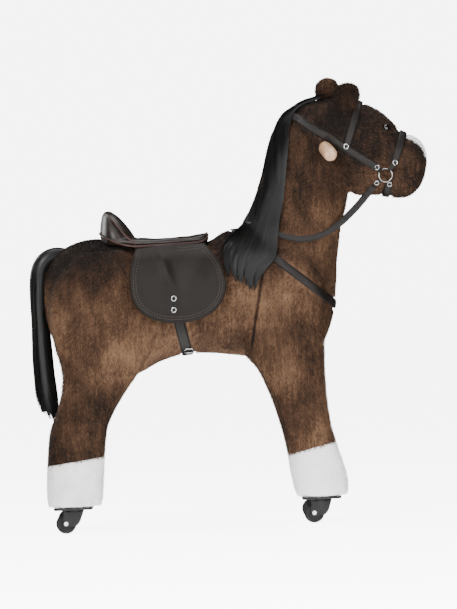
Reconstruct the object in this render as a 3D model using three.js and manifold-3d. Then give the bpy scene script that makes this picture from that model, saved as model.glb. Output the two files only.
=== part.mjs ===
// A plush ride-on horse on four swivel casters. A steel frame inside carries a front and a rear pair of legs,
// and each pair swings on its own shaft, so the horse sinks and rises under the rider and walks on its wheels.
// Millimetres, +X to the nose, +Y to the horse's left, +Z up. The origin is on the floor under the middle.
import * as THREE from 'three';
import { LoftGeometry } from 'three/addons/geometries/LoftGeometry.js';
import { mergeVertices } from 'three/addons/utils/BufferGeometryUtils.js';
import Module from 'manifold-3d';

const wasm = await Module();
wasm.setup();

// Driving dimensions.
const GAP = 0.4; // between pieces that touch
const FRONT_PIVOT = { x: 110, z: 455 };
const REAR_PIVOT = { x: -255, z: 455 };
const FRONT_FOOT_X = 164; // the caster's swivel axis
const REAR_FOOT_X = -337;
const FOOT_Y = 97;
const CORE_HALF = 62; // half the width of the body between the leg pads
const WHEEL = { radius: 20.5, halfWidth: 10, trail: 16 };
const PLATE = { length: 80, width: 74, bottom: 48, top: 53.5, corner: 9, chamfer: 2 };
const AXLE_RADIUS = 3;
const PIVOT_RADIUS = 8;
const RUNNING = 0.3; // radial clearance of a turning fit
const SPINE_RADIUS = 12.5;
const LEG_TUBE_RADIUS = 9.5;
const STRAP = { inner: 0.6, outer: 3.2, width: 15.5 };
const FULL = 400; // long enough to pass through the whole object

// Finishes.
const finish = (color, roughness, metalness = 0) => new THREE.MeshStandardMaterial({ color, roughness, metalness });
const plush = finish(0x5a3422, 0.95);
const whitePlush = finish(0xf1efec, 0.95);
const hair = finish(0x15130f, 0.5);
const strapLeather = finish(0x2c2624, 0.5);
const saddleLeather = finish(0x3b2c28, 0.4);
const steel = finish(0x8c8f93, 0.4, 0.9);
const nickel = finish(0xd8d8d6, 0.2, 1);
const beech = finish(0xd9b48a, 0.6);
const plywood = finish(0xc9a77a, 0.7);
const blackPlastic = finish(0x1b1b1c, 0.45);
const tyre = finish(0x202021, 0.7);
const eyeGlass = finish(0x120c0a, 0.1);

// A closed solid from a geometry: shared corners merged, faces with no area dropped, faces out.
function solid(geometry) {
  const bare = new THREE.BufferGeometry().copy(geometry);
  bare.deleteAttribute('normal');
  bare.deleteAttribute('uv');
  const merged = mergeVertices(bare, 1e-4);
  const faces = [];
  for (let i = 0; i < merged.index.count; i += 3) {
    const [a, b, c] = merged.index.array.slice(i, i + 3);
    if (a !== b && b !== c && a !== c) faces.push(a, b, c);
  }
  const made = (triVerts) => new wasm.Manifold(new wasm.Mesh({
    numProp: 3,
    vertProperties: merged.attributes.position.array,
    triVerts: Uint32Array.from(triVerts),
  }));
  const first = made(faces);
  return first.volume() > 0 ? first : made(faces.reverse());
}

const join = (...solids) => solids.reduce((a, b) => a.add(b));
const cut = (from, ...tools) => tools.reduce((a, b) => a.subtract(b), from);

// A Catmull-Rom curve through stations of any number of values, read at equal steps.
function smooth(stations, rows) {
  const last = stations.length - 1;
  return Array.from({ length: rows }, (_, row) => {
    const t = (row / (rows - 1)) * last;
    const i = Math.min(Math.floor(t), last - 1);
    const f = t - i;
    const at = (k) => stations[Math.min(Math.max(k, 0), last)];
    return at(i).map((_, n) => {
      const [p, q, r, s] = [at(i - 1)[n], at(i)[n], at(i + 1)[n], at(i + 2)[n]];
      return q + 0.5 * f * (r - p + f * (2 * p - 5 * q + 4 * r - s + f * (3 * (q - r) + s - p)));
    });
  });
}

// A padded form: a row of oval sections. A station is [x, z] of one edge, [x, z] of the other,
// then the middle in Y and half the width in Y. grow thickens it all round.
function padding(stations, { rows, around = 20, power = 2.3, grow = 0 }) {
  const drawn = smooth(stations, rows);
  const middles = drawn.map(([tx, tz, bx, bz, y]) => new THREE.Vector3((tx + bx) / 2, y, (tz + bz) / 2));
  const bulge = (v) => Math.sign(v) * Math.abs(v) ** (2 / power);
  const [topX, topZ, lowX, lowZ] = drawn[0];
  const run = middles[1].clone().sub(middles[0]);
  const turn = (topX - lowX) * run.z - (topZ - lowZ) * run.x > 0 ? 1 : -1; // rings run anticlockwise along the form
  const sections = drawn.map(([tx, tz, bx, bz, , half], row) => {
    const middle = middles[row].clone();
    if (row === 0) middle.addScaledVector(middles[0].clone().sub(middles[1]).normalize(), grow);
    if (row === rows - 1) middle.addScaledVector(middles[row].clone().sub(middles[row - 1]).normalize(), grow);
    const edge = new THREE.Vector3((tx - bx) / 2, 0, (tz - bz) / 2);
    edge.setLength(edge.length() + grow);
    return Array.from({ length: around }, (_, i) => {
      const angle = (turn * i * 2 * Math.PI) / around;
      const side = (half + grow) * bulge(Math.sin(angle));
      return middle.clone().addScaledVector(edge, bulge(Math.cos(angle))).add(new THREE.Vector3(0, side, 0));
    });
  });
  return solid(new LoftGeometry(sections, { capStart: true, capEnd: true }));
}

// A plain outline in X and Z, given thickness from yLow to yHigh.
function plate(shape, yLow, yHigh) {
  const made = new THREE.ExtrudeGeometry(shape, { depth: yHigh - yLow, bevelEnabled: false, curveSegments: 6 });
  return solid(made.rotateX(Math.PI / 2).translate(0, yHigh, 0));
}

const outline = (points) => new THREE.Shape(points.map(([x, z]) => new THREE.Vector2(x, z)));

function box(x0, x1, y0, y1, z0, z1) {
  const made = new THREE.BoxGeometry(x1 - x0, y1 - y0, z1 - z0);
  return solid(made.translate((x0 + x1) / 2, (y0 + y1) / 2, (z0 + z1) / 2));
}

// A round bar across the object, along Y.
const crossBar = (radius, x, z, y0, y1, sides = 20) =>
  solid(new THREE.CylinderGeometry(radius, radius, y1 - y0, sides).translate(x, (y0 + y1) / 2, z));

// A round bar from one point to another.
function bar(from, to, radius, sides = 14) {
  const along = to.clone().sub(from);
  const made = new THREE.CylinderGeometry(radius, radius, along.length(), sides);
  made.applyQuaternion(new THREE.Quaternion().setFromUnitVectors(new THREE.Vector3(0, 1, 0), along.clone().normalize()));
  return solid(made.translate(...from.clone().add(to).multiplyScalar(0.5).toArray()));
}

// A tube of round section along a smooth curve.
function tube(points, radius, { sides = 12, steps = 24 } = {}) {
  const section = new THREE.Shape().absarc(0, 0, radius, 0, 2 * Math.PI);
  const extrudePath = new THREE.CatmullRomCurve3(points.map((p) => new THREE.Vector3(...p)));
  const made = new THREE.ExtrudeGeometry(section, { steps, extrudePath, bevelEnabled: false, curveSegments: sides / 2 });
  return solid(made);
}

// A flat band across the whole object, wide enough for a strap: it holds the line from a to b in X and Z.
function band([ax, az], [bx, bz], width, before = 0, after = 0) {
  const length = Math.hypot(bx - ax, bz - az);
  const made = new THREE.BoxGeometry(length + before + after, FULL, width);
  made.translate((after - before) / 2, 0, 0).rotateY(-Math.atan2(bz - az, bx - ax));
  return solid(made.translate((ax + bx) / 2, 0, (az + bz) / 2));
}

const mirrored = (made) => made.mirror([0, 1, 0]);

// ---- The outside form of the horse, which straps and hair follow ----

const torsoStations = [
  [-377, 512, -377, 452, 0, 26],
  [-366, 541, -366, 398, 0, 66],
  [-338, 570, -338, 352, 0, 94],
  [-296, 584, -296, 334, 0, 110],
  [-250, 588, -250, 328, 0, 117],
  [-200, 583, -200, 330, 0, 116],
  [-148, 577, -148, 343, 0, 112],
  [-95, 575, -95, 350, 0, 110],
  [-42, 577, -42, 349, 0, 110],
  [0, 590, 0, 344, 0, 110],
  [42, 598, 42, 338, 0, 109],
  [90, 598, 90, 335, 0, 106],
  [140, 588, 140, 338, 0, 99],
  [184, 566, 184, 358, 0, 84],
  [212, 540, 212, 412, 0, 60],
  [225, 515, 225, 465, 0, 28],
];
const neckStations = [
  [224, 520, 8, 520, 0, 96],
  [227, 560, 25, 560, 0, 89],
  [232, 600, 40, 600, 0, 81],
  [240, 640, 53, 640, 0, 75],
  [241, 680, 66, 680, 0, 70],
  [237, 720, 78, 720, 0, 66],
  [232, 760, 93, 760, 0, 63],
  [227, 800, 114, 800, 0, 58],
  [218, 828, 142, 828, 0, 48],
  [200, 841, 166, 841, 0, 24],
];
const headStations = [
  [172, 834, 206, 748, 0, 40],
  [204, 849, 222, 702, 0, 61],
  [250, 851, 246, 669, 0, 67],
  [290, 841, 272, 660, 0, 65],
  [322, 821, 295, 661, 0, 59],
  [345, 796, 312, 660, 0, 53],
  [360, 775, 326, 657, 0, 49],
  [385, 768, 344, 650, 0, 48],
  [401, 757, 370, 652, 0, 46],
  [408, 741, 392, 668, 0, 38],
  [409, 722, 402, 690, 0, 20],
];
// Leg stations run up from the foot: front edge, back edge, middle and half width in Y.
const frontLegStations = [
  [219, 54, 114, 54, 97, 45],
  [219, 92, 107, 92, 97, 46],
  [203, 150, 99, 150, 97, 43],
  [191, 200, 88, 200, 96, 41],
  [186, 250, 73, 250, 96, 38],
  [184, 300, 53, 300, 95, 34],
  [187, 350, 38, 350, 94, 31],
  [190, 410, 36, 410, 93, 30],
  [185, 458, 42, 458, 92, 29],
];
const rearLegStations = [
  [-279, 54, -385, 54, 97, 45],
  [-275, 95, -385, 95, 97, 46],
  [-270, 150, -379, 150, 97, 43],
  [-262, 205, -373, 205, 96, 42],
  [-245, 243, -358, 243, 96, 41],
  [-220, 282, -347, 282, 95, 39],
  [-190, 322, -343, 322, 94, 33],
  [-165, 362, -351, 362, 93, 31],
  [-152, 415, -371, 415, 93, 30],
  [-158, 458, -366, 458, 92, 29],
];
// The round pads at the shoulder and the hip, turned about the leg's pivot: [radius, distance from the middle].
const shoulderProfile = [[0, 124], [40, 122], [65, 116], [79, 106], [85, 97]];
const hipProfile = [[0, 129], [50, 127], [80, 120], [97, 108], [105, 97]];

const torso = (grow) => padding(torsoStations, { rows: 19, around: 18, grow });
const neck = (grow) => padding(neckStations, { rows: 10, around: 16, grow });
const head = (grow) => padding(headStations, { rows: 13, around: 16, power: 2.4, grow });

function roundPad(profile, pivot, grow) {
  const rim = profile[profile.length - 1];
  const points = [[0, CORE_HALF + 1 - grow], [rim[0] + grow, CORE_HALF + 1 - grow]];
  for (const [radius, y] of [...profile].reverse()) points.push([radius ? radius + grow : 0, y + grow]);
  const made = new THREE.LatheGeometry(points.map(([r, y]) => new THREE.Vector2(r, y)), 24);
  return solid(made.translate(pivot.x, 0, pivot.z));
}

// One left leg, pad and all, as it hangs from its pivot.
function leg(stations, profile, pivot, grow) {
  const thigh = padding(stations, { rows: 10, around: 14, power: 2.7, grow });
  return join(thigh, roundPad(profile, pivot, grow));
}
const frontLeg = (grow) => leg(frontLegStations, shoulderProfile, FRONT_PIVOT, grow);
const rearLeg = (grow) => leg(rearLegStations, hipProfile, REAR_PIVOT, grow);

const bothSides = (made) => join(made, mirrored(made));
const bodyForm = (grow) => join(torso(grow), neck(grow), bothSides(frontLeg(grow + 1)));
const headForm = (grow) => join(head(grow), neck(grow));
const shell = (form, inner, outer) => form(outer).subtract(form(inner));

// The neck's cloth ends on this slanting seam.
const SEAM = { front: [226, 545], back: [15, 598] };
const aboveSeam = (gap) => {
  const [[fx, fz], [bx, bz]] = [SEAM.front, SEAM.back];
  const rise = (x) => fz + ((x - fx) * (bz - fz)) / (bx - fx) + gap;
  return plate(outline([[-FULL, rise(-FULL)], [FULL, rise(FULL)], [FULL, 1000], [-FULL, 1000]]), -FULL / 2, FULL / 2);
};

// ---- The steel frame ----

const NECK_TUBE = [[70, 0, 455], [98, 0, 510], [130, 0, 580], [163, 0, 655], [188, 0, 725], [197, 0, 778]];
const SEAT_POSTS_X = [-172, -88];
const SEAT_BOARD = { x0: -205, x1: -60, half: 60, bottom: 545, top: 557 };
const HUB = { radius: 14, inner: 37, outer: 52 };
const BRACE_DROP = 45; // below the pivot, along the leg
const HANDLE = { x: 196, z: 766, barRadius: 6, gripRadius: 14, gripLength: 58 };
const gripStart = new THREE.Vector3(203, 46, 756);
const gripWay = new THREE.Vector3(0.19, 0.93, -0.3).normalize();
const alongGrip = (distance) => gripStart.clone().addScaledVector(gripWay, distance);

const neckTube = (grow) => tube(NECK_TUBE, 11 + grow, { sides: 10, steps: 7 });
const spineTube = (grow) =>
  bar(new THREE.Vector3(REAR_PIVOT.x, 0, REAR_PIVOT.z), new THREE.Vector3(FRONT_PIVOT.x, 0, FRONT_PIVOT.z),
    SPINE_RADIUS + grow, 14);
const seatPosts = (grow) => join(...SEAT_POSTS_X.map((x) =>
  bar(new THREE.Vector3(x, 0, REAR_PIVOT.z), new THREE.Vector3(x, 0, SEAT_BOARD.bottom - GAP), 8 + grow, 10)));
const bush = (pivot, grow) => crossBar(HUB.radius + grow, pivot.x, pivot.z, -35.5 - grow, 35.5 + grow, 16);
const pivotBore = (pivot) => crossBar(PIVOT_RADIUS + RUNNING, pivot.x, pivot.z, -80, 80, 18);
const handleSide = [[HANDLE.x, 10, HANDLE.z], [HANDLE.x, 22, HANDLE.z], [199, 36, 762],
  alongGrip(8).toArray(), alongGrip(44).toArray()];
const handleBar = (grow) => tube([...handleSide.map(([x, y, z]) => [x, -y, z]).reverse(), ...handleSide],
  HANDLE.barRadius + grow, { sides: 10, steps: 18 });
const grip = (grow) => bar(alongGrip(-grow), alongGrip(HANDLE.gripLength + grow), HANDLE.gripRadius + grow, 16);

function spineFrame() {
  const welded = join(spineTube(0), bush(REAR_PIVOT, 0), bush(FRONT_PIVOT, 0), seatPosts(0), neckTube(0),
    crossBar(12, HANDLE.x, HANDLE.z, -9, 9, 14));
  return cut(welded, pivotBore(REAR_PIVOT), pivotBore(FRONT_PIVOT),
    crossBar(HANDLE.barRadius + GAP, HANDLE.x, HANDLE.z, -30, 30, 12));
}

// The way from a pivot down its leg to the foot, seen from the side.
const footTop = PLATE.top + 0.3;
const downLeg = (pivot, footX) => new THREE.Vector3(footX - pivot.x, 0, footTop - pivot.z).normalize();
const onLeg = (pivot, footX, drop, y) => [pivot.x + downLeg(pivot, footX).x * drop, y, pivot.z - drop];

// One leg tube with the flange at its foot: straight down from the hub, out through the thigh, down to the foot.
function legTube(pivot, footX, grow) {
  const made = tube([[pivot.x, 46, pivot.z - 12.5], onLeg(pivot, footX, 30, 48), onLeg(pivot, footX, 90, 68),
    onLeg(pivot, footX, 170, 88), [footX, FOOT_Y, footTop + 60], [footX, FOOT_Y, footTop - grow]],
  LEG_TUBE_RADIUS + grow, { sides: 8, steps: 8 });
  const flange = new THREE.CylinderGeometry(22 + grow, 22 + grow, 4 + 2 * grow, 16).rotateX(Math.PI / 2);
  return join(made, solid(flange.translate(footX, FOOT_Y, footTop + 2)));
}

// A pair of leg tubes on their hubs, with a brace between them.
function legFrame(pivot, footX) {
  const side = join(crossBar(HUB.radius, pivot.x, pivot.z, HUB.inner, HUB.outer, 18), legTube(pivot, footX, 0));
  const [x, , z] = onLeg(pivot, footX, BRACE_DROP, 0);
  return cut(join(bothSides(side), crossBar(7, x, z, -52, 52, 12)), pivotBore(pivot));
}

// The hollow in the body where a hub, the brace and the tops of the leg tubes swing.
function hubBay(pivot, footX) {
  const way = Math.sign(footX - pivot.x);
  const [x0, x1] = [pivot.x - way * 26, pivot.x + way * 52].sort((a, b) => a - b);
  return box(x0, x1, -CORE_HALF - 2, CORE_HALF + 2, pivot.z - 106, pivot.z + 30);
}

function pivotBolt(pivot) {
  const [x, z] = [pivot.x, pivot.z];
  return join(crossBar(PIVOT_RADIUS, x, z, -55, 55, 18), bothSides(crossBar(11.5, x, z, HUB.outer + 0.6, 59, 6)));
}

// A spring that pulls the two braces together, its wire drawn out to a hook at each end.
const SPRING = { radius: 10, turns: 7, x0: -120, x1: -30, wire: 1.8 };
function returnSpring() {
  const perTurn = 8;
  const steps = SPRING.turns * perTurn;
  const level = FRONT_PIVOT.z - BRACE_DROP;
  const coil = Array.from({ length: steps + 1 }, (_, i) => {
    const angle = (i / perTurn) * 2 * Math.PI;
    return [SPRING.x0 + ((SPRING.x1 - SPRING.x0) * i) / steps, SPRING.radius * Math.sin(angle),
      level + SPRING.radius * Math.cos(angle)];
  });
  const hook = (pivot, footX, way) => {
    const [x] = onLeg(pivot, footX, BRACE_DROP, 0);
    return [[-14, 9], [-1, 10.2], [7.3, 7.3], [10.4, -0.5]].map(([along, up]) => [x + way * along, 0, level + up]);
  };
  const rearHook = hook(REAR_PIVOT, REAR_FOOT_X, -1).reverse();
  return tube([...rearHook, ...coil, ...hook(FRONT_PIVOT, FRONT_FOOT_X, 1)], SPRING.wire, { sides: 6, steps: steps + 10 });
}

// ---- Soft parts ----

const springChannel = box(REAR_PIVOT.x, FRONT_PIVOT.x, -16, 16, 394, FRONT_PIVOT.z);

// Where the legs' pads swing, outside the body's core: a disc and the way down from it.
function legRoom(pivot, radius, side) {
  const room = join(crossBar(radius, pivot.x, pivot.z, CORE_HALF, FULL / 2, 28), plate(outline(side), CORE_HALF, FULL / 2));
  return bothSides(room);
}

function bodyPadding() {
  const neckCloth = neck(GAP).intersect(aboveSeam(-GAP));
  const frontRoom = legRoom(FRONT_PIVOT, 87, [[32, 250], [300, 250], [300, 455], [210, 472], [110, 472], [32, 455]]);
  const rearRoom = legRoom(REAR_PIVOT, 107, [[-420, 250], [-146, 250], [-146, 455], [-255, 480], [-420, 480]]);
  const board = box(SEAT_BOARD.x0 - GAP, SEAT_BOARD.x1 + GAP, -SEAT_BOARD.half - GAP, SEAT_BOARD.half + GAP,
    SEAT_BOARD.bottom - GAP, SEAT_BOARD.top + GAP);
  return cut(join(torso(0), neck(0)), neckCloth, frontRoom, rearRoom, hubBay(FRONT_PIVOT, FRONT_FOOT_X),
    hubBay(REAR_PIVOT, REAR_FOOT_X), springChannel, spineTube(0.6), seatPosts(0.6), neckTube(0.6), seat(GAP), board,
    bush(REAR_PIVOT, 0.6), bush(FRONT_PIVOT, 0.6));
}

const gripRoom = () => join(bothSides(grip(GAP)), handleBar(GAP), crossBar(12.6, HANDLE.x, HANDLE.z, -10, 10, 14));
const neckPadding = () => cut(neck(0).intersect(aboveSeam(0)), neckTube(0.6), gripRoom());
const headPadding = () => cut(head(0), neck(GAP), gripRoom(), bothSides(eye(GAP)));

// Sock and leg pad meet on a slanting line that is higher at the front of the foot.
const sockEdge = (x0, z0, x1, z1, gap) => {
  const rise = (x) => z0 + ((x - x0) * (z1 - z0)) / (x1 - x0) + gap;
  return plate(outline([[x0 - 200, rise(x0 - 200)], [x1 + 200, rise(x1 + 200)], [x1 + 200, 800], [x0 - 200, 800]]), 0, 200);
};
const frontSockEdge = (gap) => sockEdge(108, 135, 198, 158, gap);
const rearSockEdge = (gap) => sockEdge(-381, 134, -272, 148, gap);

function ear(x, z, lean) {
  const cup = new THREE.SphereGeometry(1, 12, 8).scale(24, 10, 34).rotateX(-0.18).rotateY(lean);
  return cut(solid(cup.translate(x, 40, z)), headForm(GAP));
}
const eye = (grow) => solid(new THREE.SphereGeometry(8.5 + grow, 12, 8).translate(329, 37, 790));

// Hair that hangs from the crest over the right side of the neck and shoulder.
function mane() {
  const edge = outline([[206, 866], [160, 856], [120, 836], [92, 800], [72, 735], [55, 680], [38, 630], [14, 612],
    [-3, 592], [-4, 560], [-4, 505], [4, 482], [30, 468], [62, 468], [84, 520], [106, 573], [112, 650], [124, 755],
    [140, 800], [166, 832], [204, 842]]);
  const hanging = shell((g) => join(bodyForm(g), head(g)), 5.8, 13).intersect(plate(edge, -FULL / 2, 14));
  return hanging.subtract(reins(0.8));
}

// The tail springs from the rump, falls clear of it and thins out at the end.
function tail() {
  const stations = [
    [-318, 586, -330, 552, 0, 14],
    [-352, 583, -350, 540, 0, 20],
    [-386, 562, -366, 520, 0, 25],
    [-405, 525, -376, 490, 0, 28],
    [-409, 470, -376, 462, 0, 29],
    [-408, 400, -370, 396, 0, 29],
    [-406, 330, -363, 328, 0, 28],
    [-402, 270, -360, 268, 0, 24],
    [-392, 228, -366, 226, 0, 14],
  ];
  return padding(stations, { rows: 13, around: 10, power: 2.2 }).subtract(torso(GAP));
}

// ---- Saddle ----

const seatPadStations = [
  [-42, 590, -42, 578, 0, 44],
  [-48, 594, -48, 574, 0, 60],
  [-75, 592, -75, 571, 0, 72],
  [-125, 590, -125, 569, 0, 84],
  [-185, 591, -185, 569, 0, 92],
  [-225, 598, -225, 574, 0, 88],
  [-248, 600, -248, 580, 0, 66],
  [-254, 596, -254, 586, 0, 40],
];
const cantleStations = [
  [-184, 582, -254, 582, 0, 84],
  [-200, 600, -257, 600, 0, 80],
  [-213, 615, -257, 615, 0, 72],
  [-224, 630, -255, 630, 0, 60],
  [-233, 641, -252, 641, 0, 44],
  [-239, 646, -248, 646, 0, 26],
];
const seat = (grow) => join(padding(seatPadStations, { rows: 12, around: 16, power: 3, grow }),
  padding(cantleStations, { rows: 7, around: 14, power: 2.6, grow }));

const SNAPS = [{ name: 'upper', x: -116, z: 465 }, { name: 'lower', x: -117, z: 442 }];
const FLAP_THICKNESS = 4;
const flapSide = [[94, 566], [112, 545], [125, 512], [131, 476], [133, 445], [132, 412]]; // [y, z] down the inside

// A leather flap bent over the horse's left side, with a rounded lower edge.
function flap() {
  const side = new THREE.SplineCurve(flapSide.map(([y, z]) => new THREE.Vector2(y, z))).getPoints(8);
  const outer = side.map((p) => new THREE.Vector2(p.x + FLAP_THICKNESS, p.y)).reverse();
  const bent = new THREE.ExtrudeGeometry(new THREE.Shape([...side, ...outer]), { depth: 230, bevelEnabled: false });
  const wrap = solid(bent.applyMatrix4(new THREE.Matrix4().set(0, 0, 1, -220, 1, 0, 0, 0, 0, 1, 0, 0, 0, 0, 0, 1)));
  const edge = new THREE.Shape([[-188, 572], [-202, 520], [-203, 488]].map(([x, z]) => new THREE.Vector2(x, z)));
  edge.bezierCurveTo(-203, 440, -160, 415, -108, 415);
  edge.bezierCurveTo(-50, 415, -9, 445, -9, 495);
  edge.splineThru([new THREE.Vector2(-20, 535), new THREE.Vector2(-50, 572)]);
  const holes = SNAPS.map(({ x, z }) => crossBar(2.5, x, z, 100, 160, 10));
  return cut(wrap.intersect(plate(edge, 60, 160)), seat(GAP), ...holes);
}

// A domed rivet whose shank passes through the flap.
function snap(x, z) {
  const profile = [[0, -5], [2.1, -5], [2.1, 0], [7, 0], [5.5, 2], [0, 3.2]];
  const made = new THREE.LatheGeometry(profile.map(([r, y]) => new THREE.Vector2(r, y)), 14);
  return solid(made.translate(x, 133.5 + FLAP_THICKNESS, z));
}

// ---- Straps ----

const GIRTH = { top: [-118, 430], bottom: [-92, 344], width: 22 };
const girthStrap = () => shell(torso, 1, 3.6)
  .intersect(band(GIRTH.top, GIRTH.bottom, GIRTH.width, 55, 30)).subtract(box(-FULL, FULL, -FULL, FULL, 478, 700));
function girthBuckle() {
  const ring = (grow) => band([-96, 340], [-90, 340], 30 + grow, 6 + grow, 6 + grow);
  const window = box(-98.5, -87.5, -66, -42, 300, 400);
  const frame = shell(torso, 4, 7).intersect(box(-104, -82, -71, -37, 300, 400)).intersect(ring(60));
  return cut(frame, window);
}
const COLLAR = { chest: [209, 446], withers: [10, 601], width: 16 };
const breastStrap = () => shell(bodyForm, 1.8, 4.8).intersect(band(COLLAR.withers, COLLAR.chest, COLLAR.width, 60, 60));

// The bridle: the link's four rivets hold the ends of four straps.
const RIVETS = { cheek: [307, 711], rein: [305, 680], chin: [331, 676], nose: [344, 719] };
const BROW_RIVET = [246, 756];
const BOSS_RADIUS = 8;
const bosses = (grow) => join(...Object.values(RIVETS).map(([x, z]) =>
  crossBar(BOSS_RADIUS + grow, x, z, -FULL / 2, FULL / 2, 10)));
const strapBand = () => shell(headForm, STRAP.inner, STRAP.outer);
const CROWN_BACK = [130, 830.5];

function crownStrap() {
  const whole = strapBand().intersect(band(CROWN_BACK, RIVETS.cheek, STRAP.width, 60, 0));
  return cut(whole, bosses(GAP), bothSides(grip(GAP)));
}
function browBand() {
  const whole = strapBand().intersect(band(BROW_RIVET, [277, 842], STRAP.width - 1, 0, 40));
  return cut(whole, band(CROWN_BACK, RIVETS.cheek, STRAP.width + 2 * GAP, 60, 60));
}
const noseBand = () => cut(strapBand().intersect(band(RIVETS.nose, [363, 774], STRAP.width - 1, 0, 40)), bosses(GAP));
const chinStrap = () => cut(strapBand().intersect(band(RIVETS.chin, [324, 655], STRAP.width, 0, 30)), bosses(GAP));

// A nickel bit ring on the left cheek, joined to the four rivets that hold the straps' ends to it.
function bitLink() {
  const middle = [323.5, 694.7];
  const arms = Object.values(RIVETS).map((rivet) => band(middle, rivet, 6));
  const ringOut = crossBar(16, ...middle, 0, FULL / 2, 20);
  const flat = shell(head, STRAP.inner, STRAP.outer).intersect(join(bosses(0), ...arms, ringOut));
  const domes = shell(head, STRAP.inner, 5.6).intersect(join(...Object.values(RIVETS).map(([x, z]) =>
    crossBar(5.5, x, z, 0, FULL / 2, 6))));
  return cut(join(flat, domes).intersect(box(250, 400, 10, 200, 600, 760)), crossBar(12.6, ...middle, 0, FULL / 2, 20));
}

// The reins run from rivet to rivet round the neck, flat against it, as [x, y, z] on the left side.
const REIN = { width: 12, thickness: 2.4 };
const reinRoute = [[300, 48, 675], [279, 54, 650], [254, 62, 624], [224, 68, 599], [187, 79.5, 579], [146, 90.5, 573],
  [104, 87.5, 583], [70, 71, 597], [45, 36, 606], [36, 10, 608]];
function reins(grow) {
  const left = reinRoute.map((p) => new THREE.Vector3(...p));
  const right = [...left].reverse().map((p) => new THREE.Vector3(p.x, -p.y, p.z));
  const route = new THREE.CatmullRomCurve3([...left, ...right]);
  const count = 40;
  const sections = Array.from({ length: count + 1 }, (_, i) => {
    const at = route.getPointAt(i / count);
    const way = route.getTangentAt(i / count);
    const out = at.x > 200 ? new THREE.Vector3(0, Math.sign(at.y), 0) : new THREE.Vector3(at.x - 150, at.y * 1.6, 0);
    const across = new THREE.Vector3().crossVectors(way, out).setLength(REIN.width / 2 + grow);
    out.crossVectors(across, way).setLength(REIN.thickness / 2 + grow);
    return [[1, 1], [1, -1], [-1, -1], [-1, 1]].map(([a, o]) =>
      at.clone().addScaledVector(across, a).addScaledVector(out, o));
  });
  return solid(new LoftGeometry(sections, { capStart: true, capEnd: true }));
}

// ---- Feet and casters, drawn about the swivel axis ----

function footPlate() {
  const { length, width, corner, chamfer, bottom, top } = PLATE;
  const [l, w] = [length / 2 - chamfer, width / 2 - chamfer];
  const shape = new THREE.Shape().moveTo(-l + corner, -w).lineTo(l - corner, -w).quadraticCurveTo(l, -w, l, -w + corner)
    .lineTo(l, w - corner).quadraticCurveTo(l, w, l - corner, w).lineTo(-l + corner, w)
    .quadraticCurveTo(-l, w, -l, w - corner).lineTo(-l, -w + corner).quadraticCurveTo(-l, -w, -l + corner, -w);
  const slab = new THREE.ExtrudeGeometry(shape, {
    depth: top - bottom - 2 * chamfer, bevelThickness: chamfer, bevelSize: chamfer, bevelSegments: 1, curveSegments: 3,
  });
  const stemHole = new THREE.CylinderGeometry(5 + RUNNING, 5 + RUNNING, 30, 10).rotateX(Math.PI / 2);
  return cut(solid(slab.translate(0, 0, bottom + chamfer)), solid(stemHole.translate(0, 0, top)));
}

function casterHood() {
  const side = new THREE.Shape().moveTo(-20, 46).lineTo(-23, 22);
  side.absarc(-WHEEL.trail, WHEEL.radius, 7, Math.PI, 1.5 * Math.PI);
  side.lineTo(2, 14.5).quadraticCurveTo(10, 18, 14, 27).lineTo(19, 42).lineTo(19, 46);
  const disc = new THREE.CylinderGeometry(20, 20, 4, 16).rotateX(Math.PI / 2).translate(0, 0, 45.6);
  const stem = new THREE.CylinderGeometry(5, 5, 8, 10).rotateX(Math.PI / 2).translate(0, 0, 49);
  const well = crossBar(WHEEL.radius + 1.6, -WHEEL.trail, WHEEL.radius, -WHEEL.halfWidth - 0.8, WHEEL.halfWidth + 0.8, 16);
  const openBack = box(-60, -WHEEL.trail, -WHEEL.halfWidth - 0.8, WHEEL.halfWidth + 0.8, -5, WHEEL.radius);
  return cut(join(plate(side, -14, 14), solid(disc), solid(stem)), well, openBack,
    crossBar(AXLE_RADIUS + RUNNING, -WHEEL.trail, WHEEL.radius, -30, 30, 10));
}

function wheel() {
  const half = [[AXLE_RADIUS + RUNNING, 10], [8, 10], [10, 8], [16.5, 9.4], [WHEEL.radius, 6.5]];
  const profile = [...half, ...half.map(([r, y]) => [r, -y]).reverse(), half[0]];
  const made = new THREE.LatheGeometry(profile.map(([r, y]) => new THREE.Vector2(r, y)), 18);
  return solid(made.translate(-WHEEL.trail, 0, WHEEL.radius));
}

const axle = () => join(crossBar(AXLE_RADIUS, -WHEEL.trail, WHEEL.radius, -15, 15, 10),
  bothSides(crossBar(4.6, -WHEEL.trail, WHEEL.radius, 14.4, 16, 10)));

// ---- The assembly ----

const horse = new THREE.Group();

function add(name, made, material, parent = horse) {
  const { vertProperties, triVerts, numProp } = made.getMesh();
  const points = new Float32Array((vertProperties.length / numProp) * 3);
  for (let i = 0; i < points.length / 3; i += 1) points.set(vertProperties.subarray(i * numProp, i * numProp + 3), i * 3);
  const geometry = new THREE.BufferGeometry().setAttribute('position', new THREE.BufferAttribute(points, 3));
  geometry.setIndex(new THREE.BufferAttribute(triVerts, 1));
  geometry.computeVertexNormals();
  const mesh = new THREE.Mesh(geometry, material);
  mesh.name = name;
  parent.add(mesh);
}

// Both sides of a piece that is drawn on the horse's left.
function addPair(name, made, material) {
  add(`${name}_left`, made, material);
  add(`${name}_right`, mirrored(made), material);
}

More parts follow.
